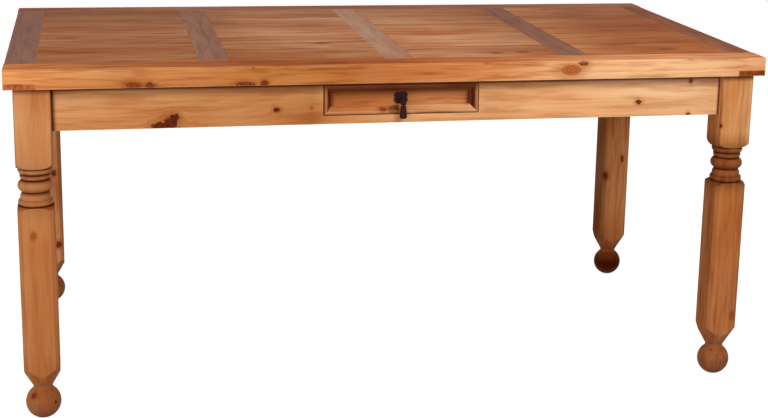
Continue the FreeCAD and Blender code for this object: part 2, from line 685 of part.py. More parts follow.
def make_base():
    """Legs, aprons, braces and their screws."""
    through = ("-dims.groove_spare", "dims.apron_thickness + 2 * dims.groove_spare")
    opening = box(middle(OPENING_HALF), through, (OPENING_BOTTOM, "dims.opening_height"))
    long_sizes = (LEG_INNER_X, INSIDE_X, LONG_SCREWS)
    short_sizes = (LEG_INNER_Y, INSIDE_Y, SHORT_SCREWS)
    top_screws = [
        make_apron("front_apron", 0, "0", f"-{FACE_Y}", *long_sizes, [opening] + runner_housings()),
        make_apron("rear_apron", 180, "0", FACE_Y, *long_sizes, runner_housings()),
        make_apron("left_apron", 270, f"-{FACE_X}", "0", *short_sizes, []),
        make_apron("right_apron", 90, FACE_X, "0", *short_sizes, []),
    ]
    keep("top_screws", group(top_screws))
    brace_screws = []
    for corner, (turn, x_side, y_side) in CORNERS.items():
        make_leg(f"{corner}_leg", turn, x_side, y_side)
        brace_screws.append(make_brace(f"{corner}_corner_brace", turn, x_side, y_side))
    keep("corner_brace_screws", group(brace_screws))


# Drawer slide under the top
def guide_seats(sign):
    """Seats of the screws that hold one guide down on its runner."""
    x = f"{sign} * ({OPENING_HALF} + dims.guide_thickness / 2)"
    z = f"{OPENING_BOTTOM} - dims.runner_thickness + dims.screw_head_height"
    near_end = f"({INSIDE_Y} - dims.rail_screw_inset)"
    return [(x, y, z) for y in (f"-{near_end}", "0", near_end)]


def kicker_seats():
    """Seats of the screws that hold the kicker up to the middle cross rail."""
    z = f"{OPENING_TOP} + dims.screw_head_height"
    front = f"{BOARD_BACK} + dims.stop_gap + dims.stop_depth + dims.rail_screw_inset"
    return [("0", y, z) for y in (front, f"{DRAWER_END} + dims.kicker_beyond - dims.rail_screw_inset")]


def slide_hole(seat):
    """Room for one screw of a guide or of the kicker."""
    return screw_hole(seat, "+z", "dims.rail_screw_length", "dims.screw_head_height")


def make_slide():
    """Runners, guides, kicker and stops."""
    guide_screws = []
    rear_stops = []
    for name, sign in (("left", -1), ("right", 1)):
        holes = [slide_hole(seat) for seat in guide_seats(sign)]
        runner = box(runner_span(sign), middle(f"{INSIDE_Y} + dims.runner_housing"),
                     (f"{OPENING_BOTTOM} - dims.runner_thickness", "dims.runner_thickness"))
        keep(f"{name}_drawer_runner", cut(runner, holes))
        guide = box(side(sign, OPENING_HALF, "dims.guide_thickness"), middle(INSIDE_Y),
                    (OPENING_BOTTOM, "dims.guide_height"))
        keep(f"{name}_drawer_guide", cut(guide, holes))
        guide_screws += [screw(seat, "+z", "dims.rail_screw_length") for seat in guide_seats(sign)]
        rear_stops.append(box(side(sign, f"{OPENING_HALF} - dims.runner_lip", "dims.runner_lip"),
                              (f"{DRAWER_END} + dims.running_gap", "dims.stop_depth"),
                              (OPENING_BOTTOM, "dims.rear_stop_height")))
    keep("drawer_guide_screws", group(guide_screws))
    keep("drawer_closing_stops", group(rear_stops))
    along = between(f"-{INSIDE_Y}", f"{DRAWER_END} + dims.kicker_beyond")
    kicker = box(middle("dims.kicker_width / 2"), along, between(OPENING_TOP, UNDER_TOP))
    keep("drawer_kicker", cut(kicker, [slide_hole(seat) for seat in kicker_seats()]))
    kicker_screws = [screw(seat, "+z", "dims.rail_screw_length") for seat in kicker_seats()]
    keep("drawer_kicker_screws", group(kicker_screws))
    behind_front = (f"{BOARD_BACK} + dims.stop_gap", "dims.stop_depth")
    hanging = (f"{OPENING_TOP} - dims.stop_drop", "dims.stop_drop")
    keep("drawer_opening_stop", box(middle("dims.stop_width / 2"), behind_front, hanging))


# Drawer
def frame_strip(node, half_length, turn, x, z):
    """Mitred bevelled strip of the drawer front, outer edge down, turned in the plane of the front."""
    body = doc.addObject("PartDesign::Body", "Strip")
    depth = "dims.frame_depth"
    width = "(dims.frame_flat + dims.frame_bevel)"
    inner_edge = (f"{depth} - dims.frame_fillet", width)
    section = [("0", "0"), (depth, "0"), (depth, width), inner_edge, ("0", "dims.frame_flat")]
    raised = pad(body, outline(body, "YZ_Plane", section), f"2 * ({half_length})")
    raised.Midplane = True
    long = f"({half_length})"
    for sign in (-1, 1):
        corners = [(f"{sign} * {long}", "0"), (f"{sign} * ({long} - 2 * {width})", f"2 * {width}"),
                   (f"{sign} * ({long} + {width})", f"2 * {width}"), (f"{sign} * ({long} + {width})", "0")]
        mitre = body.newObject("PartDesign::Pocket", "Mitre")
        mitre.Profile = outline(body, "XZ_Plane", corners)
        mitre.Type = "ThroughAll"
        mitre.Midplane = True
    body.Placement = FreeCAD.Placement(Vector(), Rotation(Vector(0, 1, 0), turn))
    for axis, text in zip("xyz", (x, DRAWER_FACE, z)):
        body.setExpression(f"Placement.Base.{axis}", text)
    return keep(node, body)


def make_drawer():
    """Drawer front, box and nails."""
    half_height = f"{FRONT_HEIGHT} / 2"
    centre_z = f"({FRONT_BOTTOM} + {half_height})"
    frame_strip("drawer_frame_bottom", FRONT_HALF, 0, "0", FRONT_BOTTOM)
    frame_strip("drawer_frame_top", FRONT_HALF, 180, "0", f"{FRONT_BOTTOM} + {FRONT_HEIGHT}")
    frame_strip("drawer_frame_left", half_height, 90, f"-{FRONT_HALF}", centre_z)
    frame_strip("drawer_frame_right", half_height, 270, FRONT_HALF, centre_z)

    groove = "dims.drawer_groove"
    gap = "dims.joint_gap"
    tongue_x = f"({SIDE_INNER} + (dims.side_thickness - dims.side_tongue) / 2)"
    tongue_z = between(f"{BOTTOM_TOP} + dims.side_tongue_inset", f"{SIDE_TOP} - dims.side_tongue_inset")
    bottom_slot = eased((BOTTOM_Z, "dims.bottom_thickness"))
    side_nails = [(f"{BACK_FRONT} + dims.side_thickness / 2", z) for z in
                  (f"{BOTTOM_TOP} + dims.nail_inset", f"{SIDE_TOP} - dims.nail_inset")]
    floor_nails = [(f"{step} * dims.floor_nail_step", f"{BACK_FRONT} + dims.side_thickness / 2", BOTTOM_Z)
                   for step in (-1, 0, 1)]

    def nail(seat, way):
        """One nail with its head outside the seat."""
        outside = shifted(seat, way, "-dims.nail_head_height")
        head = rod(outside, way, "dims.nail_head_height", "dims.nail_head_radius")
        return fuse([head, rod(seat, way, "dims.nail_length", "dims.nail_radius")])

    def nail_hole(seat, way):
        """Room for one nail."""
        return rod(seat, way, f"dims.nail_length + {gap}", "dims.nail_radius + dims.pin_gap")

    nails = [nail(seat, "+z") for seat in floor_nails]
    floor_holes = [nail_hole(seat, "+z") for seat in floor_nails]
    back_holes = list(floor_holes)
    for name, sign, way in (("left", -1, "+x"), ("right", 1, "-x")):
        along = between(BOARD_BACK, DRAWER_END)
        blank = box(side(sign, SIDE_INNER, "dims.side_thickness"), along, between(SIDE_BOTTOM, SIDE_TOP))
        tongue = box(side(sign, tongue_x, "dims.side_tongue"), (f"{BOARD_BACK} - {groove}", groove), tongue_z)
        inside = side(sign, SIDE_INNER, groove)
        dado = box(inside, eased((BACK_FRONT, "dims.side_thickness")),
                   between(f"{BOTTOM_TOP} - {gap}", SIDE_TOP))
        seats = [(f"{sign} * {SIDE_OUTER}", y, z) for y, z in side_nails]
        holes = [nail_hole(seat, way) for seat in seats]
        slot = box(inside, along, bottom_slot)
        keep(f"{name}_drawer_side", cut(fuse([blank, tongue]), [slot, dado] + holes))
        back_holes += [nail_hole(seat, way) for seat in seats]
        nails += [nail(seat, way) for seat in seats]
    keep("drawer_nails", group(nails))

    reach = f"({SIDE_INNER} + {groove} - {gap})"
    back = box(middle(reach), (BACK_FRONT, "dims.side_thickness"), between(BOTTOM_TOP, SIDE_TOP))
    keep("drawer_back", cut(back, back_holes))
    floor = box(middle(reach), between(f"{BOARD_BACK} - {groove} + {gap}", BACK_REAR),
                (BOTTOM_Z, "dims.bottom_thickness"))
    keep("drawer_bottom", cut(floor, floor_holes))

    board = box(middle(FRONT_HALF), (BOARD_FACE, "dims.front_board"), (FRONT_BOTTOM, FRONT_HEIGHT))
    slots = [box(middle(f"{SIDE_INNER} + {groove}"), (f"{BOARD_BACK} - {groove}", groove), bottom_slot)]
    for sign in (-1, 1):
        slots.append(box(eased(side(sign, tongue_x, "dims.side_tongue")),
                         (f"{BOARD_BACK} - {groove} - {gap}", f"{groove} + {gap}"), eased(tongue_z)))
    shank_hole = "dims.shank_radius + dims.shank_gap"
    slots.append(rod(("0", BOARD_BACK, POST_Z), "-y", "dims.front_board", shank_hole))
    keep("drawer_front_board", cut(board, slots))


# Pull
def make_pull():
    """Iron plate, post with fork, pin, drop, washer and nut."""
    half_width = "dims.plate_width / 2"
    half_height = f"{PLATE_HEIGHT} / 2"
    blank = box(middle(half_width), (PLATE_FACE, "dims.plate_thickness"),
                (f"{PLATE_Z} - {half_height}", PLATE_HEIGHT))
    through = ("-y", "dims.plate_thickness")
    shank_hole = "dims.shank_radius + dims.shank_gap"
    hollows = [rod(("0", BOARD_FACE, POST_Z), *through, shank_hole)]
    for x in (-1, 1):
        hollows.append(rod((f"{x} * {half_width}", BOARD_FACE, PLATE_Z), *through, "dims.plate_notch"))
        for z in (-1, 1):
            corner = (f"{x} * {half_width}", BOARD_FACE, f"{PLATE_Z} + {z} * {half_height}")
            hollows.append(rod(corner, *through, "dims.plate_corner"))
    keep("pull_backplate", cut(blank, hollows))

    nut_face = f"{BOARD_BACK} + dims.washer_thickness"
    shank_start = f"{nut_face} + dims.nut_thickness + dims.shank_end"
    root = f"({SLOT_DEPTH} + dims.fork_web)"
    ears = f"{FORK_WIDTH} / 2"
    post = fuse([
        rod(("0", shank_start, POST_Z), "-y", f"({shank_start}) - {PLATE_FACE}", "dims.shank_radius"),
        rod(("0", PLATE_FACE, POST_Z), "-y", "dims.collar_thickness", "dims.collar_radius"),
        rod(("0", PLATE_FACE, POST_Z), "-y", f"{PLATE_FACE} - {PIVOT_Y} - {root}", "dims.post_radius"),
        box(middle(ears), (PIVOT_Y, root), (f"{POST_Z} - dims.fork_radius", "2 * dims.fork_radius")),
        rod((f"-{ears}", PIVOT_Y, POST_Z), "+x", FORK_WIDTH, "dims.fork_radius"),
    ])
    slot = box(middle(f"{SLOT_WIDTH} / 2"),
               (f"{PIVOT_Y} - 2 * dims.fork_radius", f"{SLOT_DEPTH} + 2 * dims.fork_radius"),
               (f"{POST_Z} - 2 * dims.fork_radius", "4 * dims.fork_radius"))
    pin_hole = rod((f"-{ears}", PIVOT_Y, POST_Z), "+x", FORK_WIDTH, "dims.pin_radius + dims.pin_gap")
    keep("pull_post", cut(post, [slot, pin_hole]))
    keep("pull_pin", rod((f"-{ears}", PIVOT_Y, POST_Z), "+x", FORK_WIDTH, "dims.pin_radius"))

    bell = doc.addObject("PartDesign::Body", "Bell")
    full = ("dims.bell_radius", f"-{BELL_START} - dims.bell_flare")
    foot = ("dims.bell_foot", f"{full[1]} - dims.bell_cap")
    start = ("dims.bell_top_radius", f"-{BELL_START}")
    profile = [("0", start[1]), start, full, foot, ("0", foot[1])]
    cap = {2: swell(full, foot, "dims.bell_cap_bulge")}
    turned(bell, outline(bell, "XZ_Plane", profile, cap), "PartDesign::Revolution")
    half_eye = "dims.eye_thickness / 2"
    eye = rod((f"-{half_eye}", "0", "0"), "+x", "dims.eye_thickness", "dims.eye_radius")
    neck = box(middle(half_eye), middle("dims.neck_width / 2"), (f"-{BELL_START}", BELL_START))
    hole = rod((f"-{half_eye}", "0", "0"), "+x", "dims.eye_thickness", "dims.pin_radius + dims.pin_gap")
    keep("pull_drop", place(cut(fuse([bell, eye, neck]), [hole]), "0", PIVOT_Y, POST_Z))

    washer = rod(("0", nut_face, POST_Z), "-y", "dims.washer_thickness", "dims.washer_radius")
    bore = rod(("0", nut_face, POST_Z), "-y", "dims.washer_thickness", shank_hole)
    keep("pull_washer", cut(washer, [bore]))
    hexagon = doc.addObject("Part::Prism", "Hexagon")
    hexagon.Polygon = 6
    bind(hexagon, Circumradius="dims.nut_size / sqrt(3)", Height="dims.nut_thickness")
    place(hexagon, "0", f"{nut_face} + dims.nut_thickness", POST_Z)
    hexagon.Placement.Rotation = Rotation(Vector(0, 0, 1), WAYS["-y"])
    thread = rod(("0", f"{nut_face} + dims.nut_thickness", POST_Z), "-y", "dims.nut_thickness",
                 "dims.shank_radius + dims.pin_gap")
    keep("pull_nut", cut(hexagon, [thread]))


make_top()
make_base()
make_slide()
make_drawer()
make_pull()
doc.recompute()

for item in doc.Objects:
    if "Invalid" in item.State or "Error" in item.State:
        raise RuntimeError(f"{item.Name} ({item.Label}) failed: {item.State}")
for node, item in nodes.items():
    if item.Shape.isNull() or not item.Shape.isValid() or not item.Shape.Solids:
        raise RuntimeError(f"{node} is not a valid solid")

os.makedirs("parts", exist_ok=True)
for node, item in nodes.items():
    item.Shape.exportStep(f"parts/{node}.step")
print(len(nodes), "pieces,", sum(len(item.Shape.Solids) for item in nodes.values()), "solids")
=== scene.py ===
"""Tavern table in waxed pine: the looks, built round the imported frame.

The scene is in metres in the frame's own axes: +Z up, the drawer side towards -Y, +X to the right.
Sizes held by the classes are in millimetres, as a joiner would write them down.
"""

import json
import logging
import math
import random
from dataclasses import dataclass
from enum import Enum
from typing import Any, Iterator, Sequence

import bmesh
import bpy
import numpy as np
from mathutils import Matrix, Vector


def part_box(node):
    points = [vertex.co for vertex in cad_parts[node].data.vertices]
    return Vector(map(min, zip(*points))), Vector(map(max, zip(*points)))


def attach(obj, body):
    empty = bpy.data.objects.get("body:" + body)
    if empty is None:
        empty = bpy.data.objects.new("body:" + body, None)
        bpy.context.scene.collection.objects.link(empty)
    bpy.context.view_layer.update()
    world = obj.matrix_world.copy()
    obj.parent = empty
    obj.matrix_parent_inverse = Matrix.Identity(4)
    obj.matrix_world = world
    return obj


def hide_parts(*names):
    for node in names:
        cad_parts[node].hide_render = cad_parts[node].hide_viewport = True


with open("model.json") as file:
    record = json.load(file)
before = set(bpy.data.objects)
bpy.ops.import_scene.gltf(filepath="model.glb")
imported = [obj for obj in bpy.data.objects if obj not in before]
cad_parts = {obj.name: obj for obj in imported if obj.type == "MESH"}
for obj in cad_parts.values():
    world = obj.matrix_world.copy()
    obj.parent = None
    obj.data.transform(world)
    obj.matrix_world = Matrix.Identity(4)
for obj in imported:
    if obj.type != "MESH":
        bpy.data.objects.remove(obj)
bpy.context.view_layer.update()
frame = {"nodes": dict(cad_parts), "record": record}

log = logging.getLogger("tavern_table")

MM = 0.001
# Points of a mesh that lie closer than this, in metres, are one point
MERGE = 1e-6
# A slice that passes this near a point goes through it
SNAP = 1e-5
# Metres of log along which the boards find their own stretches of grain
LOG_LENGTH = 40.0
KNOT_SLOTS = 10
NO_KNOT = (1000.0, 1000.0, 1000.0)
# Distance from a knot, in its radii, where there is none
NO_KNOT_NEAR = 100.0
# How fast the rings straighten with the square of that distance
RING_STRAIGHTENING = -0.22
# Where a crease needs points, in reaches from its middle
CREASE_STEPS = (-2.0, -1.2, -0.6, 0.0, 0.6, 1.2, 2.0)
# What a board carries at its points, painted shade and painted sheen among it, and the marks that tools have
# left on it; the groove mark is painted shade in the legs' grooves, with wax gathered there, and along their
# arrises
VECTOR_FIELDS = ("timber", "grain", "hue")
NUMBER_FIELDS = ("tone", "grime", "dull", "figure")
TOOL_MARKS = ("turned", "groove", "arris")

Node = bpy.types.Node
Socket = bpy.types.NodeSocket
Tree = bpy.types.NodeTree
Mesh = bpy.types.Mesh
Material = bpy.types.Material
Piece = bpy.types.Object
Point = tuple[float, float, float]
Flat = tuple[float, float]
# Where a change starts and ends, and its levels there
Ramp = tuple[float, float, float, float]


def linear(colour: str) -> tuple[float, float, float, float]:
    """Turn an sRGB hex colour into linear light.

    Args:
        colour: Six hex digits after a hash.

    Returns:
        Red, green, blue and full alpha.
    """
    shades = [int(colour[index:index + 2], 16) / 255 for index in (1, 3, 5)]
    lit = [s / 12.92 if s <= 0.04045 else ((s + 0.055) / 1.055) ** 2.4 for s in shades]
    return (lit[0], lit[1], lit[2], 1.0)


def add(tree: Tree, kind: str, *values: Any, named: dict[str, Any] | None = None, **settings: Any) -> Node:
    """Add a node with its settings, its plain values and its links.

    A node given as a value stands for its first output, and a list gives one socket several links.

    Args:
        tree: The node tree to add to.
        kind: The node's type name.
        values: Values or links of the node's inputs, in the order of its sockets.
        named: Values or links by input name.
        settings: The node's own properties.

    Returns:
        The new node.
    """
    node = tree.nodes.new(kind)
    for name, value in settings.items():
        setattr(node, name, value)
    pairs = list(zip([socket for socket in node.inputs if socket.enabled], values))
    pairs += [(node.inputs[name], value) for name, value in (named or {}).items()]
    for socket, value in pairs:
        for source in value if isinstance(value, list) else [value]:
            if isinstance(source, Node):
                source = next(output for output in source.outputs if output.enabled)
            if isinstance(source, Socket):
                tree.links.new(source, socket)
            else:
                socket.default_value = source
    return node


def layered(tree: Tree, colour: Any, layers: Sequence[tuple[Any, Any, str]]) -> Any:
    """Lay tints over a colour, one after another.

    Args:
        tree: The material's nodes.
        colour: What the first tint lies on.
        layers: Each tint's share, its colour and how it blends.

    Returns:
        The colour with its tints.
    """
    for share, tint, blend in layers:
        over = linear(tint) if isinstance(tint, str) else tint
        colour = add(tree, "ShaderNodeMix", share, colour, over, data_type="RGBA", blend_type=blend)
    return colour


def bare_material(name: str) -> Material:
    """Start a material with no nodes.

    Args:
        name: What the real material is called.

    Returns:
        The material.
    """
    made = bpy.data.materials.new(name)
    made.use_nodes = True
    made.node_tree.nodes.clear()
    return made


def placed(name: str, data: Any) -> Piece:
    """Put a mesh, a lamp or a lens into the scene.

    Args:
        name: The new object's name.
        data: What it shows.

    Returns:
        The object, at the origin.
    """
    piece = bpy.data.objects.new(name, data)
    bpy.context.scene.collection.objects.link(piece)
    return piece


class Axis(Enum):
    """Which way the fibres of a board run."""

    X = 0
    Y = 1
    Z = 2

    @property
    def across(self) -> list[int]:
        """The two other axes, in order."""
        return [index for index in range(3) if index != self.value]


class Drive(Enum):
    """How the head of a fastener is made."""

    CROSS = "cross slot"
    PLAIN = "plain head"


@dataclass(frozen=True)
class Knot:
    """A branch cut through by a face: its place on the table and its size, in millimetres."""

    place: Point
    radius: float
    dark: float = 0.6
    stretch: float = 1.3


@dataclass(frozen=True)
class Crease:
    """A plane along which the colour darkens, painted shade under overhangs and in recesses and darker lines
    at joints and turnings: its place, how far it fades and how deep it is.
    """

    axis: Axis
    at: float
    reach: float = 4.0
    depth: float = 0.8


@dataclass(frozen=True)
class Timber:
    """How one board was cut from its log, and how the stain took.

    heart is the log's pith, measured from the middle of the board along its two cross axes.
    shade lists places along the grain with the stain's depth there, on top of tone.
    The grey share is a painted sheen on the top face, and figure how plainly rings and streaks show.
    hue is the stain's own colour at the two ends of the grain, and crown a further tint on the highest face
    alone, painted light that sets the top apart from the sides.
    """

    grain: Axis
    heart: Flat = (20.0, -90.0)
    tone: float = 0.3
    knots: tuple[Knot, ...] = ()
    shade: tuple[Flat, ...] = ()
    creases: tuple[Crease, ...] = ()
    dull: float = 0.0
    figure: float = 1.0
    hue: tuple[str, str] = ("#FFFFFF", "#FFFFFF")
    crown: str = "#FFFFFF"

    def planes(self) -> list[tuple[Axis, float]]:
        """List the planes where the board needs points to show its shade and its creases.

        Returns:
            One axis and one place for each plane.
        """
        found = [(self.grain, place) for place, _ in self.shade]
        for crease in self.creases:
            found += [(crease.axis, crease.at + step * crease.reach) for step in CREASE_STEPS]
        return found


@dataclass(frozen=True)
class StrayKnots:
    """Knots strewn by chance: their span of a board, and their least and greatest sizes and shades."""

    span: Flat = (0.08, 0.92)
    radius: Flat = (3.0, 10.0)
    share_of_width: float = 0.3
    dark: Flat = (0.35, 0.8)
    stretch: Flat = (1.1, 1.7)

    def over(self, node: str, count: int, seed: str = "") -> tuple[Knot, ...]:
        """Strew a few knots over a board's broad faces.

        Args:
            node: The board's node.
            count: How many knots.
            seed: What fixes their places, if not the node's name.

        Returns:
            The knots, the same in each build.
        """
        chance = random.Random(seed or node)
        low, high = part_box(node)
        size = [(b - a) / MM for a, b in zip(low, high)]
        thinnest = size.index(min(size))
        largest = min(self.radius[1], self.share_of_width * sorted(size)[1])
        knots = []
        for _ in range(count):
            place = [a / MM + chance.uniform(*self.span) * s for a, s in zip(low, size)]
            place[thinnest] = chance.choice((low, high))[thinnest] / MM
            radius = chance.uniform(self.radius[0], largest)
            dark, stretch = (chance.uniform(*span) for span in (self.dark, self.stretch))
            knots.append(Knot(tuple(place), radius, dark, stretch))
        return tuple(knots)


STRAYS = StrayKnots()


class GrainField:
    """The log coordinates, stain and knots that a mesh carries for its pine finish, with its painted shade
    and painted sheen.
    """

    # Points this near a board's top, in metres, belong to its highest face
    crown_reach = 0.2 * MM

    def __init__(self, mesh: Mesh) -> None:
        """Start with unmarked wood.

        Args:
            mesh: The board's mesh.
        """
        count = len(mesh.vertices)
        self.mesh = mesh
        points = np.empty(count * 3, np.float32)
        mesh.vertices.foreach_get("co", points)
        self.points = points.reshape(-1, 3)
        self.vectors = {name: np.zeros((count, 3), np.float32) for name in VECTOR_FIELDS}
        for slot in range(KNOT_SLOTS):
            self.vectors[f"knot_{slot}"] = np.full((count, 3), NO_KNOT, np.float32)
            self.vectors[f"knot_form_{slot}"] = np.full((count, 3), (MM, 0.0, 1.0), np.float32)
        self.numbers = {name: np.zeros(count, np.float32) for name in NUMBER_FIELDS}

    def cut(self, timber: Timber, seed: str, rows: Any = slice(None)) -> None:
        """Lay the log's coordinates over a board.

        Args:
            timber: How the board was cut.
            seed: The board's name, which gives it a stretch of log of its own.
            rows: The vertices that belong to the board.
        """
        board_points = self.points[rows]
        order = [timber.grain.value, *timber.grain.across]
        heart = np.array([0.0, timber.heart[0] * MM, timber.heart[1] * MM])
        origin = ((board_points.min(0) + board_points.max(0)) / 2)[order] + heart
        origin[0] -= random.Random(seed).uniform(0.0, LOG_LENGTH)
        along = board_points[:, [timber.grain.value]]
        share = (along - along.min()) / np.ptp(along)
        first, last, crown = (np.array(linear(tint)[:3]) for tint in (*timber.hue, timber.crown))
        highest = board_points[:, [2]] > board_points[:, 2].max() - self.crown_reach
        self.vectors["timber"][rows] = board_points[:, order] - origin
        self.vectors["grain"][rows] = [float(index == timber.grain.value) for index in range(3)]
        # The crown tint on the top face alone is painted light
        self.vectors["hue"][rows] = (first + (last - first) * share) * np.where(highest, crown, 1.0)
        self.numbers["tone"][rows] = timber.tone
        self.numbers["figure"][rows] = timber.figure
        # The grey share is a painted sheen, on the top face only
        self.numbers["dull"][rows] = timber.dull * highest[:, 0]
        if timber.shade:
            places, depths = zip(*timber.shade)
            self.numbers["tone"][rows] += np.interp(along[:, 0] / MM, places, depths)
        # Creases darken the colour: painted shade under overhangs and in recesses, darker lines at joints and
        # turnings
        grime = self.numbers["grime"]
        for crease in timber.creases:
            gap = (board_points[:, crease.axis.value] / MM - crease.at) / crease.reach
            grime[rows] = np.maximum(grime[rows], crease.depth * np.exp(-(gap ** 2)))
        for slot, knot in enumerate(timber.knots[:KNOT_SLOTS]):
            self.vectors[f"knot_{slot}"][rows] = (np.array(knot.place) * MM)[order] - origin
            self.vectors[f"knot_form_{slot}"][rows] = (knot.radius * MM, knot.dark, knot.stretch)

    def store(self) -> None:
        """Write the fields to the mesh."""
        for name, values in self.vectors.items():
            field = self.mesh.attributes.new(name, "FLOAT_VECTOR", "POINT")
            field.data.foreach_set("vector", values.ravel())
        for name, values in self.numbers.items():
            self.mesh.attributes.new(name, "FLOAT", "POINT").data.foreach_set("value", values)


def knot_group() -> Tree:
    """Build the node group that measures how near a point is to one knot.

    Returns:
        A group that takes the nearest knot so far and gives it back, with this one counted in.
    """
    tree = bpy.data.node_groups.new("knot", "ShaderNodeTree")
    for name in ("Timber", "Ragged", "Centre", "Form"):
        tree.interface.new_socket(name, in_out="INPUT", socket_type="NodeSocketVector")
    for name in ("Nearest", "Dark", "Swell"):
        for way in ("INPUT", "OUTPUT"):
            tree.interface.new_socket(name, in_out=way, socket_type="NodeSocketFloat")
    given = tree.nodes.new("NodeGroupInput").outputs
    radius, dark, stretch = add(tree, "ShaderNodeSeparateXYZ", given["Form"]).outputs
    clean = add(tree, "ShaderNodeVectorMath", given["Timber"], given["Centre"], operation="SUBTRACT")
    # A pale, sound knot has a cleaner outline than a dark, loose one
    tear = add(tree, "ShaderNodeMath", radius, dark, operation="MULTIPLY")
    torn = add(tree, "ShaderNodeVectorMath", given["Ragged"], tear, operation="SCALE")
    offset = add(tree, "ShaderNodeVectorMath", clean, torn, operation="ADD")
    squeeze = add(tree, "ShaderNodeMath", 1.0, stretch, operation="DIVIDE")
    shape = add(tree, "ShaderNodeCombineXYZ", squeeze, 1.0, 1.0)
    squeezed = add(tree, "ShaderNodeVectorMath", offset, shape, operation="MULTIPLY")
    reach = add(tree, "ShaderNodeVectorMath", squeezed, operation="LENGTH")
    away = add(tree, "ShaderNodeMath", reach, radius, operation="DIVIDE")
    nearer = add(tree, "ShaderNodeMath", away, given["Nearest"], operation="LESS_THAN")
    darkness = add(tree, "ShaderNodeMix", nearer, given["Dark"], dark)
    nearest = add(tree, "ShaderNodeMath", away, given["Nearest"], operation="MINIMUM")
    square = add(tree, "ShaderNodeMath", away, away, operation="MULTIPLY")
    fall = add(tree, "ShaderNodeMath", square, RING_STRAIGHTENING, operation="MULTIPLY")
    bell = add(tree, "ShaderNodeMath", fall, operation="EXPONENT")
    swell = add(tree, "ShaderNodeMath", bell, radius, given["Swell"], operation="MULTIPLY_ADD")
    add(tree, "NodeGroupOutput", nearest, darkness, swell)
    return tree


@dataclass(frozen=True)
class StainLayer:
    """Stain gathered in cells: their length and width, the noise where they start and fill, their depth."""

    size_mm: Flat
    start: float
    full: float
    depth: float
    detail: float = 2.0


